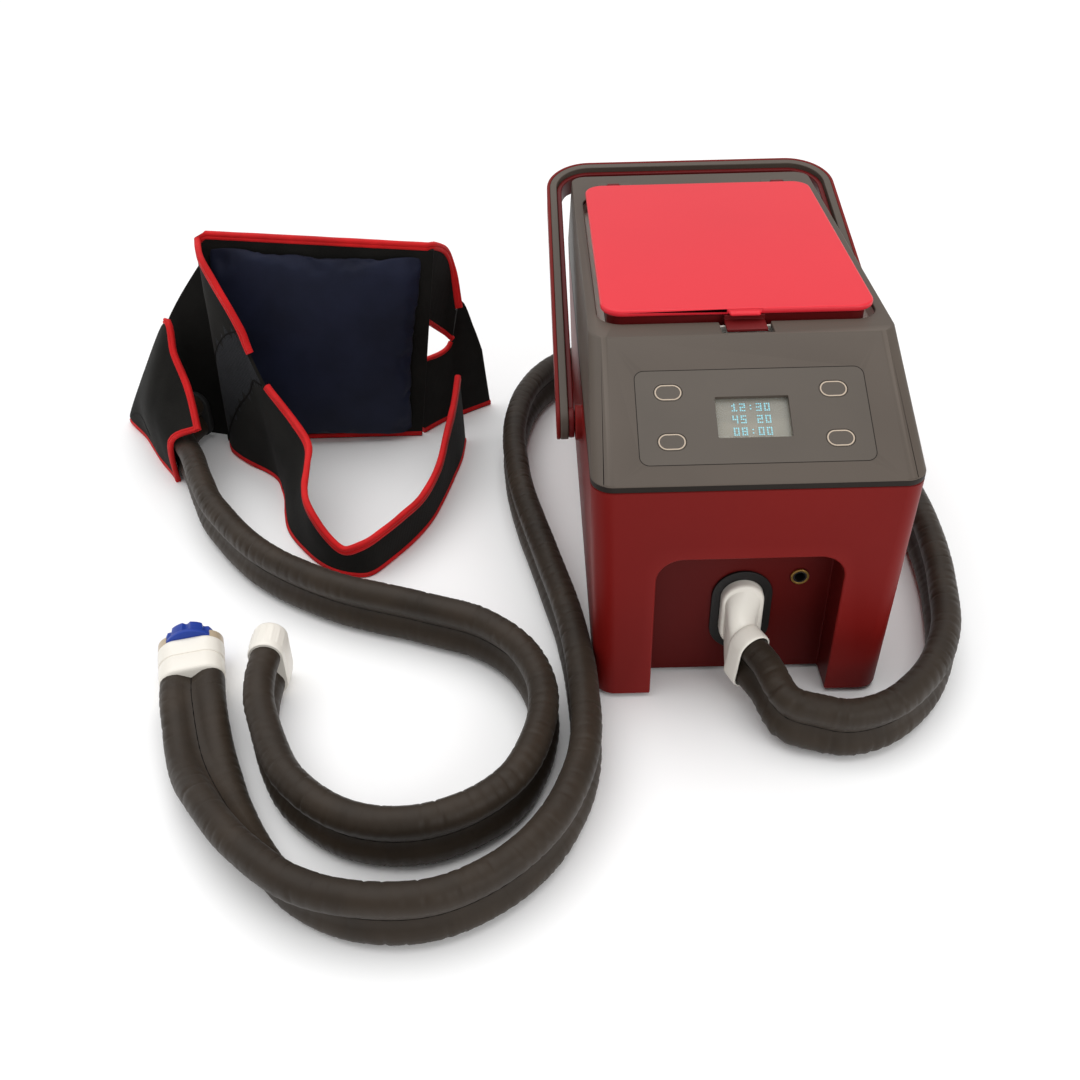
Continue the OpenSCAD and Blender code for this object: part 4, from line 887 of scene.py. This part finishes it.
wrapLook = {
    "clothThickness": 3,
    "panelThickness": 4,
    "panelY": 152,
    "bindingLow": -1,
    "bindingHeight": 5.8,
    "bindingHalfThickness": 2.5,
    "hemLow": -5,
    "hemHigh": -0.2,
    "hemHalfThickness": 2.4,
    "cornerRadius": 9,
    "seamRadius": 0.7,
}
panelLow = (-414, -236)
panelLeft = (-407, 194)
panelRight = (-212, 178)
wingFront = [
    [(-410, 151, 0), (-404, 151, 190)], [(-404, 132, 0), (-397, 126, 185)],
    [(-387, 113, 0), (-386, 112, 168)], [(-366, 96, 0), (-373, 101, 144)],
    [(-354, 82, 0), (-366, 96, 122)], [(-348, 66, 0), (-354, 83, 96)],
    [(-344, 52, 0), (-341, 68, 85)], [(-341, 34, 0), (-328, 52, 76)], [(-336, 12, 0), (-314, 28, 68)],
    [(-328, -4, 0), (-312, 5, 62)], [(-318, -18, 0), (-312, -14, 54)], [(-305, -34, 0), (-307, -30, 47)],
    [(-292, -45, 0), (-295, -43, 32)], [(-276, -52, 0), (-281, -50, 21)], [(-262, -51, 0), (-264, -51, 27)],
    [(-247, -32, 0), (-250, -38, 30)], [(-233, -10, 0), (-237, -20, 31)], [(-220, 18, 0), (-223, 4, 32)],
    [(-212, 47, 0), (-212, 38, 37)], [(-205, 79, 0), (-206, 68, 49)], [(-199, 110, 0), (-201, 102, 57)],
    [(-197, 140, 0), (-198, 136, 66)]]
wingBack = [
    [(-235, 158, 0), (-230, 158, 74)], [(-215, 179, 0), (-208, 184, 74)], [(-199, 190, 0), (-196, 192, 114)],
    [(-188, 198, 0), (-186, 200, 84)], [(-175, 207, 0), (-180, 204, 60)]]
strap = [
    [(-226, 158, 112), (-215, 158, 178)], [(-218, 170, 99), (-206, 175, 166)],
    [(-211, 178, 89), (-202, 184, 146)], [(-205, 180, 82), (-199, 183, 112)]]
pocket = [
    [(-398, 158, 0), (-397, 158, 60), (-396, 158, 184)], [(-440, 172, 0), (-440, 171, 50), (-438, 168, 130)],
    [(-480, 188, 0), (-480, 188, 30), (-475, 184, 70)], [(-512, 193, 0), (-512, 193, 4), (-511, 192, 8)],
    [(-487, 157, 0), (-488, 160, 40), (-479, 174, 66)], [(-468, 124, 0), (-470, 126, 55), (-446, 152, 119)],
    [(-456, 106, 0), (-458, 108, 52), (-440, 133, 100)], [(-448, 94, 0), (-450, 96, 48), (-427, 110, 77)],
    [(-444, 86, 0), (-440.5, 84, 41), (-417, 81, 54)]]


def clothSurface(stations, stepsAlong, rows, smoothRows=False):
    lines = []
    for row in range(len(stations[0])):
        lines.append(curveThrough([station[row] for station in stations], stepsAlong))
    surface = []
    for i in range(len(lines[0])):
        points = [lines[row][i] for row in range(len(lines))]
        if smoothRows:
            column = curveThrough(points, rows // (len(points) - 1))
        else:
            column = [tuple(a + (b - a) * k / rows for a, b in zip(*points)) for k in range(rows + 1)]
        surface.append([Vector(p) for p in column])
    return surface


def surfaceNormal(surface, i, j):
    last = len(surface) - 1
    top = len(surface[0]) - 1
    run = surface[min(i + 1, last)][j] - surface[max(i - 1, 0)][j]
    rise = surface[i][min(j + 1, top)] - surface[i][max(j - 1, 0)]
    return run.cross(rise).normalized()


def makeCloth(name, node, surface, ripple, thickness=wrapLook["clothThickness"], slot="black_fabric"):
    n = len(surface)
    m = len(surface[0])
    verts = []
    for side in (0.5, -0.5):
        for i in range(n):
            for j in range(m):
                point = surface[i][j]
                normal = surfaceNormal(surface, i, j)
                edge = min(1, 3 * min(i, n - 1 - i) / n + 0.2, 3 * min(j, m - 1 - j) / m + 0.2)
                wave = ripple * edge * noise.noise(point * 0.035)
                verts.append((point + normal * (thickness * side + wave)) * mm)
    count = n * m
    faces = []
    for i in range(n - 1):
        for j in range(m - 1):
            a = i * m + j
            faces.append((a, a + 1, a + m + 1, a + m))
            faces.append((count + a, count + a + m, count + a + m + 1, count + a + 1))
    rim = [i * m for i in range(n)] + [(n - 1) * m + j for j in range(1, m)]
    rim += [i * m + m - 1 for i in range(n - 2, -1, -1)] + list(range(m - 2, 0, -1))
    for k, a in enumerate(rim):
        b = rim[(k + 1) % len(rim)]
        faces.append((a, b, count + b, count + a))
    piece = newPiece(name, verts, faces, materials[slot], sharp=60)
    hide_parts(node)
    return piece


def bandRing(point, up, normal, low, high, half):
    middle = (low + high) / 2
    soft = min(half, (high - low) / 2) * 0.45
    outline = [
        (low, half - soft), (low + soft, half), (middle - 0.5, half), (middle, half - 0.55),
        (middle + 0.5, half), (high - soft, half), (high, half - soft),
        (high, -half + soft), (high - soft, -half), (middle + 0.5, -half), (middle, -half + 0.55),
        (middle - 0.5, -half), (low + soft, -half), (low, -half + soft)]
    return [(point + up * u + normal * v) * mm for u, v in outline]


def makeBand(name, edge, low, high, half):
    verts = []
    size = 0
    for i, (point, up, normal) in enumerate(edge):
        wobble = 0.25 * noise.noise(point * 0.05)
        ring = bandRing(point, up, normal, low, high + wobble, half + wobble)
        size = len(ring)
        verts += ring
    piece = newPiece(name, verts, ringFaces(len(edge), size), materials["red_binding"], sharp=50)
    return piece


def surfaceEdge(surface, top, first, last):
    row = len(surface[0]) - 1 if top else 0
    inward = -1 if top else 1
    edge = []
    for i in range(first, last + 1):
        point = surface[i][row]
        normal = surfaceNormal(surface, i, row)
        other = surface[i][row + inward]
        run = surface[min(i + 1, len(surface) - 1)][row] - surface[max(i - 1, 0)][row]
        up = normal.cross(run).normalized()
        if up.dot(point - other) < 0:
            up = -up
        edge.append((point, up, normal))
    return edge      # points on the edge, the way out of the cloth, and the cloth's normal


def joinedEdge(first, second):
    edge = list(first)
    for i in range(1, len(edge)):
        point, up, normal = edge[i]
        edge[i] = (point, up, normal if normal.dot(edge[i - 1][2]) > 0 else -normal)
    for point, up, normal in second:
        edge.append((point, up, normal if normal.dot(edge[-1][2]) > 0 else -normal))
    return edge


def makeBinding(name, edge, high=wrapLook["bindingHeight"]):
    return makeBand(name, edge, wrapLook["bindingLow"], high, wrapLook["bindingHalfThickness"])


def makeHem(name, surface, first=0, low=wrapLook["hemLow"], high=wrapLook["hemHigh"],
            half=wrapLook["hemHalfThickness"]):
    return makeBand(name, surfaceEdge(surface, False, first, len(surface) - 1), low, high, half)


def paintMesh(piece, surface, upperSeam, lowerSeam):
    piece.data.materials.append(materials["mesh_fabric"])
    across = len(surface) - 1
    rows = len(surface[0]) - 1
    for index in range(across * rows):
        u = (index // rows + 0.5) / across
        v = (index % rows + 0.5) / rows
        lines = []
        for start, end in (upperSeam, lowerSeam):
            lines.append(end[1] + (start[1] - end[1]) * (u - end[0]) / (start[0] - end[0]))
        if lines[1] < v < lines[0]:
            for face in (2 * index, 2 * index + 1):
                piece.data.polygons[face].material_index = 1


def makeSeamLine(name, surface, start, end, radius=wrapLook["seamRadius"]):
    verts = []
    faces = []
    steps = 30
    for side in (1, -1):
        ringStart = len(verts)
        centres = []
        for k in range(steps + 1):
            t = k / steps
            i = (start[0] + (end[0] - start[0]) * t) * (len(surface) - 1)
            j = (start[1] + (end[1] - start[1]) * t) * (len(surface[0]) - 1)
            i0 = min(int(i), len(surface) - 2)
            j0 = min(int(j), len(surface[0]) - 2)
            fi = i - i0
            fj = j - j0
            point = (surface[i0][j0] * (1 - fi) * (1 - fj) + surface[i0 + 1][j0] * fi * (1 - fj)
                     + surface[i0][j0 + 1] * (1 - fi) * fj + surface[i0 + 1][j0 + 1] * fi * fj)
            normal = surfaceNormal(surface, i0, j0)
            centres.append((point + normal * side * (wrapLook["clothThickness"] / 2 + 0.1), normal))
        for k, (centre, normal) in enumerate(centres):
            along = (centres[min(k + 1, steps)][0] - centres[max(k - 1, 0)][0]).normalized()
            across = normal.cross(along).normalized()
            for q in range(6):
                angle = q * math.pi / 3
                out = across * radius * math.cos(angle) + normal * 0.5 * radius * math.sin(angle)
                verts.append((centre + out) * mm)
        faces += [tuple(ringStart + v for v in face) for face in ringFaces(len(centres), 6)]
    piece = newPiece(name, verts, faces, materials["seam_thread"])
    return piece


def panelSurface():
    surface = []
    across = 40
    up = 24
    corner = wrapLook["cornerRadius"]
    middleY = wrapLook["panelY"] + wrapLook["panelThickness"] / 2
    for i in range(across + 1):
        u = i / across
        low = panelLow[0] + (panelLow[1] - panelLow[0]) * u
        high = panelLeft[0] + (panelRight[0] - panelLeft[0]) * u
        top = panelLeft[1] + (panelRight[1] - panelLeft[1]) * u
        fromLeft = high - panelLeft[0]
        if fromLeft < corner:
            top -= corner - math.sqrt(corner ** 2 - (corner - fromLeft) ** 2)
        surface.append([Vector((low + (high - low) * j / up, middleY, top * j / up))
                        for j in range(up + 1)])
    return surface


clothSteps = 6       # between two stations of the left wing and of the pocket
wingEnd = 5 * clothSteps         # where the belt is sewn to the left wing
panelCloth = panelSurface()
frontCloth = clothSurface(wingFront, clothSteps, 12)
wingCloth = frontCloth[:wingEnd + 1]
beltCloth = frontCloth[wingEnd:]
backCloth = clothSurface(wingBack, 8, 10)
strapCloth = clothSurface(strap, 8, 8)
pocketCloth = clothSurface(pocket, clothSteps, 12, smoothRows=True)

padLook = {
    "margin": 7,
    "edge": 3,       # thickness at the rim, and height of the lower edge
    "crown": 13,
    "sideTuck": 3,       # how far the sides pull in between the corners
    "topTuck": 2,
    "cells": 48,
    "gap": 0.4,      # to the panel
}
padPuff = {
    "cell": 0.004,       # metres
    "pressure": 4,
    "frames": 20,
    "clothMass": 0.2,
    "heldDepth": 1.2,        # the back of the pad, which stays on the panel
    "mostMove": 4,
    "leastGap": 0.35,
    "spareCloth": -0.05,     # the cover is cut a little larger, so that it puckers
}


def padPoint(u, v, side):
    def blend(a, b, t):
        return a + (b - a) * t
    margin = padLook["margin"]
    edge = padLook["edge"]
    left = blend(panelLow[0], panelLeft[0], v) + margin
    right = blend(panelLow[1], panelRight[0], v) - margin
    top = blend(panelLeft[1], panelRight[1], u) - margin / 2
    pull = padLook["sideTuck"] * math.sin(math.pi * v) * (1 - 2 * u)
    x = blend(left, right, u) + pull
    z = blend(edge, top, v) + padLook["topTuck"] * math.sin(math.pi * u) * (1 - 2 * v)
    swell = max(0, math.sin(math.pi * u) * math.sin(math.pi * v)) ** 0.42
    pucker = noise.noise(Vector((u * 9, v * 7, 3))) * 0.9 + noise.noise(Vector((u * 26, v * 5, 8))) * 0.5
    depth = edge + (padLook["crown"] - edge) * swell + pucker * swell
    back = wrapLook["panelY"] - padLook["gap"]
    return Vector((x, back - depth * side, z)) * mm


def puffPad(piece):
    scene = bpy.context.scene
    remesh = piece.modifiers.new("evenCells", "REMESH")
    remesh.mode = "VOXEL"
    remesh.voxel_size = padPuff["cell"]
    cells = bpy.data.meshes.new_from_object(piece.evaluated_get(bpy.context.evaluated_depsgraph_get()))
    piece.modifiers.remove(remesh)
    piece.data = cells
    start = [v.co.copy() for v in cells.vertices]
    back = (wrapLook["panelY"] - padPuff["heldDepth"]) * mm
    held = piece.vertex_groups.new(name="held")
    held.add([i for i, p in enumerate(start) if p.y > back], 1, "REPLACE")
    cloth = piece.modifiers.new("puff", "CLOTH")
    cloth.settings.use_pressure = True
    cloth.settings.uniform_pressure_force = padPuff["pressure"]
    cloth.settings.effector_weights.gravity = 0
    cloth.settings.vertex_group_mass = "held"
    cloth.settings.mass = padPuff["clothMass"]
    cloth.settings.shrink_min = padPuff["spareCloth"]
    for step in range(1, padPuff["frames"] + 1):
        scene.frame_set(step)
    moved = piece.evaluated_get(bpy.context.evaluated_depsgraph_get()).to_mesh()
    ends = [v.co.copy() for v in moved.vertices]
    piece.modifiers.remove(cloth)
    scene.frame_set(1)
    for vertex, a, b in zip(cells.vertices, start, ends):
        shift = b - a
        if shift.length > padPuff["mostMove"] * mm:
            shift = shift.normalized() * padPuff["mostMove"] * mm
        vertex.co = a + shift
        vertex.co.y = min(vertex.co.y, (wrapLook["panelY"] - padPuff["leastGap"]) * mm)
    cells.shade_smooth()
    smooth = piece.modifiers.new("softer", "SUBSURF")
    smooth.levels = 1
    smooth.render_levels = 1
    cells.materials.clear()
    cells.materials.append(materials["navy_fabric"])


def makePad():
    count = padLook["cells"]
    verts = [padPoint(i / count, j / count, side) for side in (1, 0)
             for i in range(count + 1) for j in range(count + 1)]
    m = count + 1
    total = m * m
    faces = []
    for i in range(count):
        for j in range(count):
            a = i * m + j
            faces.append((a, a + 1, a + m + 1, a + m))
            faces.append((total + a, total + a + m, total + a + m + 1, total + a + 1))
    rim = [i * m for i in range(m)] + [count * m + j for j in range(1, m)]
    rim += [i * m + count for i in range(count - 1, -1, -1)] + list(range(count - 1, 0, -1))
    for k, a in enumerate(rim):
        b = rim[(k + 1) % len(rim)]
        faces.append((a, b, total + b, total + a))
    piece = newPiece("wrap_navy_pad", verts, faces, materials["navy_fabric"], sharp=80)
    puffPad(piece)
    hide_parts("wrap_pad")


def makePanel():
    piece = makeCloth("wrap_panel_cloth", "wrap_back_panel", panelCloth, 0.3, wrapLook["panelThickness"])
    hem = makeHem("wrap_panel_hem", panelCloth, first=2, half=wrapLook["bindingHalfThickness"] + 0.4)
    edge = surfaceEdge(wingCloth, True, 0, 25)[::-1]
    edge += surfaceEdge(panelCloth, True, 2, len(panelCloth) - 2)
    edge = joinedEdge(edge, surfaceEdge(strapCloth, True, 2, len(strapCloth) - 1))
    binding = makeBinding("wrap_top_binding", edge)      # wing, panel and strap in one run
    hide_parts("wrap_binding")


def makeLeftWing():
    piece = makeCloth("wrap_left_wing_cloth", "wrap_left_wing", wingCloth, 0.7)
    hem = makeHem("wrap_wing_hem", wingCloth)
    meshSeam = ((0.64, 0.98), (0.01, 0.36))      # shares of the way along and up
    beltSeam = ((0.99, 0.98), (0.12, 0.03))
    seam = makeSeamLine("wrap_wing_seam", wingCloth, *meshSeam)
    join = makeSeamLine("wrap_wing_join", wingCloth, *beltSeam, 0.9)
    paintMesh(piece, wingCloth, meshSeam, beltSeam)


def makeBelt():
    piece = makeCloth("wrap_belt_cloth", "wrap_belt", beltCloth, 0.5)
    binding = makeBinding("wrap_belt_binding", surfaceEdge(beltCloth, True, 1, len(beltCloth) - 1))
    hem = makeHem("wrap_belt_hem", beltCloth, low=-4.2, half=2.3)


def makeRightWing():
    piece = makeCloth("wrap_right_wing_cloth", "wrap_right_wing", backCloth, 0.5)
    hem = makeHem("wrap_right_hem", backCloth)
    binding = makeBand("wrap_right_binding", surfaceEdge(backCloth, True, 1, 9), -1.5, 1.5, 2.2)


def makeStrap():
    piece = makeCloth("wrap_strap_cloth", "wrap_right_strap", strapCloth, 0.4)
    hem = makeHem("wrap_strap_hem", strapCloth, low=-4, high=0.8, half=2.3)


def makePocket():
    piece = makeCloth("wrap_pocket_cloth", "wrap_hose_pocket", pocketCloth, 0.3)
    last = len(pocketCloth) - 1
    mouthStart = 5 * clothSteps
    binding = makeBinding("wrap_pocket_binding", surfaceEdge(pocketCloth, True, mouthStart, last), 4.6)
    hem = makeHem("wrap_pocket_hem", pocketCloth, first=3 * clothSteps + 1)
    arch = []
    for j, point in enumerate(pocketCloth[last]):
        out = (point - pocketCloth[last - 1][j]).normalized()
        arch.append((point, out, surfaceNormal(pocketCloth, last, j)))
    mouth = makeBand("wrap_mouth_binding", arch, -4.5, 0.6, 2.2)
    seam = makeSeamLine("wrap_pocket_seam", pocketCloth, (0.16, 0.66), (0.6, 0.24))


labelLook = {
    "left": -330,
    "wide": 16,
    "tall": 24,
    "fromFloor": 1,
    "y": 156.7,      # just behind the panel
    "curl": 1.2,
}


def makeLabel():
    surface = []
    across = 8
    up = 10
    for i in range(across + 1):
        x = labelLook["left"] + labelLook["wide"] * i / across
        column = []
        for j in range(up + 1):
            y = labelLook["y"] + labelLook["curl"] * (1 - j / up) ** 2
            column.append(Vector((x, y, labelLook["fromFloor"] + labelLook["tall"] * j / up)))
        surface.append(column)
    piece = makeCloth("wrap_blank_label", "care_label", surface, 0.1, 0.5, "white_fabric")


makePad()
makePanel()
makeLeftWing()
makeBelt()
makeRightWing()
makeStrap()
makePocket()
makeLabel()
print("wrap made")


# the machine's shell

keyNames = ("program", "temperature", "start", "timer")
shellLook = {
    "housingRound": 1.2,
    "coverRound": 0.9,
    "lidRound": 1.6,
    "linerRound": 0.5,
    "buttonRound": 0.35,
    "bodyX": 0.094,      # metres from the middle: edges further out than this are rounded
    "bodyY": 0.19,
    "coverX": 0.096,
    "coverY": 0.189,
    "coverTop": 0.2215,
    "rimTop": 0.1742,        # the dark rim line lies under this
    # faces of the front recess inside these bounds get the painted shade
    "recessX": 0.0605,
    "recessFront": -0.191,
    "recessBack": -0.16,
    "recessTop": 0.1185,
    "recessEdgeBack": -0.165,
    "recessEdgeTop": 0.122,
}


def onHousingOutside(p):
    recess = p.y < shellLook["recessEdgeBack"] and p.z < shellLook["recessEdgeTop"]
    return abs(p.x) > shellLook["bodyX"] or abs(p.y) > shellLook["bodyY"] or recess


def onCoverOutside(p):
    top = p.z > shellLook["coverTop"]
    return top or abs(p.x) > shellLook["coverX"] or abs(p.y) > shellLook["coverY"]


def makeHousing():
    housing = roundedCopy("housing", "housing_shell", materials["red_shell"],
                          shellLook["housingRound"] * mm, where=onHousingOutside)
    # painted shade: the faces inside the front recess get a darker red
    housing.data.materials.append(materials["recess_red"])
    for face in housing.data.polygons:
        x, y, z = face.center
        between = shellLook["recessFront"] < y < shellLook["recessBack"]
        if between and abs(x) < shellLook["recessX"] and z < shellLook["recessTop"]:
            face.material_index = 1


def makeCover():
    cover = roundedCopy("top_cover", "top_cover_shell", materials["warm_grey"],
                        shellLook["coverRound"] * mm, where=onCoverOutside)
    cover.data.materials.append(materials["lip_black"])
    for face in cover.data.polygons:
        if face.center.z < shellLook["rimTop"]:
            face.material_index = 1


def makeLid():
    lid = roundedCopy("lid_plate", "lid_top", materials["bright_red"], shellLook["lidRound"] * mm, "lid")
    liner = roundedCopy("lid_liner", "lid_liner_shell", materials["dark_red"],
                        shellLook["linerRound"] * mm, "lid")


def makeHandle():
    for node, name, slot, width in (
            ("handle_frame", "handle_grey_frame", "warm_grey", 0.8),
            ("handle_skin", "handle_red_skin", "red_shell", 0.7),
            ("handle_lining", "handle_red_lining", "dark_red", 1.0)):
        piece = roundedCopy(node, name, materials[slot], width * mm, "handle")


def makeSmallParts():
    for node, name, slot, width in (
            ("port_bezel", "port_bezel_ring", "black_plastic", 0.5),
            ("rubber_feet", "rubber_feet_pads", "black_rubber", 0.6),
            ("pivot_bolts", "pivot_bolt_heads", "black_plastic", 0.5),
            ("socket_ring", "socket_brass_ring", "brass", 0.25)):
        piece = roundedCopy(node, name, materials[slot], width * mm)
    for key in keyNames:
        piece = roundedCopy(key + "_button", key + "_button_cap", materials["overlay_film"],
                            shellLook["buttonRound"] * mm, key + "_key")


makeHousing()
makeCover()
makeLid()
makeHandle()
makeSmallParts()
print("machine shell made")


# marks on the control panel

panelLook = {
    "buttonWide": 17.5,
    "buttonTall": 12,
    "buttonX": 50.5,
    "rowGap": 34.7,
    "overlayStart": 14,
    "overlayLength": 66.5,
    "overlayWide": 141,
    "ringWidth": 0.75,
    "ringInset": 1.2,
    "ringHeight": 0.02,
    "outlineHeight": -0.04,
    "dotHalfWide": 0.403,
    "dotHalfTall": 0.372,
    "dotStepAcross": 1.248,
    "dotStepUp": 1.17,
    "lineStep": 8.5,
    "dotsDepth": 3.15,       # below the overlay's face
    "readings": ("12:30", "45 20", "08:00"),
}
lipTop = 174.5
slopeTop = 224
slopeReach = 94
slopeAngle = math.atan((slopeTop - lipTop) / slopeReach)
digits = {       # five rows of three dots
    "0": "111101101101111", "1": "010110010010111", "2": "111001111100111", "3": "111001111001111",
    "4": "101101111001001", "5": "111100111001111", "6": "111100111101111", "7": "111001010010010",
    "8": "111101111101111", "9": "111101111001111", ":": "000010000010000", " ": "000000000000000"}


def onSlope(x, s, out):
    cos = math.cos(slopeAngle)
    sin = math.sin(slopeAngle)
    return Vector((x, frontY + s * cos - out * sin, lipTop + s * sin + out * cos)) * mm


def pillPoint(wide, tall, t):
    straight = (wide - tall) / 2
    angle = t * 2 * math.pi
    x = math.cos(angle) * tall / 2 + (straight if math.cos(angle) >= 0 else -straight)
    return x, math.sin(angle) * tall / 2


def flatRing(inner, outer, out):
    count = len(inner)
    verts = []
    for points, height in ((inner, out), (inner, out + 0.1), (outer, out + 0.1), (outer, out)):
        verts += [onSlope(x, s, height) for x, s in points]
    faces = []
    for i in range(4):
        j = (i + 1) % 4
        for k in range(count):
            nextK = (k + 1) % count
            faces.append((i * count + k, i * count + nextK, j * count + nextK, j * count + k))
    return verts, faces


def pillOutline(centreX, centreS, wide, tall):
    count = 48
    points = [pillPoint(wide, tall, k / count) for k in range(count)]
    return [(centreX + x, centreS + s) for x, s in points]


def makeButtonRings():
    middle = panelLook["overlayStart"] + panelLook["overlayLength"] / 2
    line = 2 * panelLook["ringWidth"]
    for key in keyNames:
        low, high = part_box(key + "_button")
        sideX = 1 if low[0] + high[0] > 0 else -1
        sideS = 1 if (low[1] + high[1]) / 2 > (frontY + middle * math.cos(slopeAngle)) * mm else -1
        x = sideX * panelLook["buttonX"]
        s = middle + sideS * panelLook["rowGap"] / 2
        wide = panelLook["buttonWide"] - panelLook["ringInset"]
        tall = panelLook["buttonTall"] - panelLook["ringInset"]
        inner = pillOutline(x, s, wide - line, tall - line)
        outer = pillOutline(x, s, wide, tall)
        ring = flatRing(inner, outer, panelLook["ringHeight"])
        piece = newPiece(key + "_button_outline", *ring, materials["button_ring"], key + "_key")


def roundedBox(wide, tall, corner, count=12):
    points = []
    for quarter in range(4):
        for k in range(count):
            angle = (quarter + k / (count - 1)) * math.pi / 2
            cx = (wide / 2 - corner) * (1 if quarter in (0, 3) else -1)
            cs = (tall / 2 - corner) * (1 if quarter in (0, 1) else -1)
            points.append((cx + corner * math.cos(angle), cs + corner * math.sin(angle)))
    return points


def makeOverlayOutline():
    middle = panelLook["overlayStart"] + panelLook["overlayLength"] / 2
    wide = panelLook["overlayWide"]
    tall = panelLook["overlayLength"]
    inner = [(x, s + middle) for x, s in roundedBox(wide - 0.4, tall - 0.4, 5.8)]
    outer = [(x, s + middle) for x, s in roundedBox(wide + 0.6, tall + 0.6, 6.3)]
    ring = flatRing(inner, outer, panelLook["outlineHeight"])
    piece = newPiece("overlay_outline", *ring, materials["lip_black"])


def dotAt(x, s, start):
    wide = panelLook["dotHalfWide"]
    tall = panelLook["dotHalfTall"]
    verts = []
    for height in (0.02 - panelLook["dotsDepth"], 0.1 - panelLook["dotsDepth"]):
        for cx, cs in ((-1, -1), (1, -1), (1, 1), (-1, 1)):
            verts.append(onSlope(x + cx * wide, s + cs * tall, height))
    faces = [(start, start + 1, start + 2, start + 3), (start + 4, start + 5, start + 6, start + 7)]
    for k in range(4):
        nextK = (k + 1) % 4
        faces.append((start + k, start + nextK, start + 4 + nextK, start + 4 + k))
    return verts, faces


def makeReadings():
    middle = panelLook["overlayStart"] + panelLook["overlayLength"] / 2 - 1
    across = panelLook["dotStepAcross"]
    verts = []
    faces = []
    for line, text in enumerate(panelLook["readings"]):
        left = -len(text) * 4 * across / 2
        low = middle + (1 - line) * panelLook["lineStep"]
        for place, sign in enumerate(text):
            for bit, lit in enumerate(digits[sign]):
                if lit == "1":
                    x = left + (place * 4 + bit % 3 + 0.5) * across
                    s = low + (2 - bit // 3) * panelLook["dotStepUp"]
                    dotVerts, dotFaces = dotAt(x, s, len(verts))
                    verts += dotVerts
                    faces += dotFaces
    piece = newPiece("display_dots", verts, faces, materials["lit_dots"])


makeButtonRings()
makeOverlayOutline()
makeReadings()
print("panel marks made")
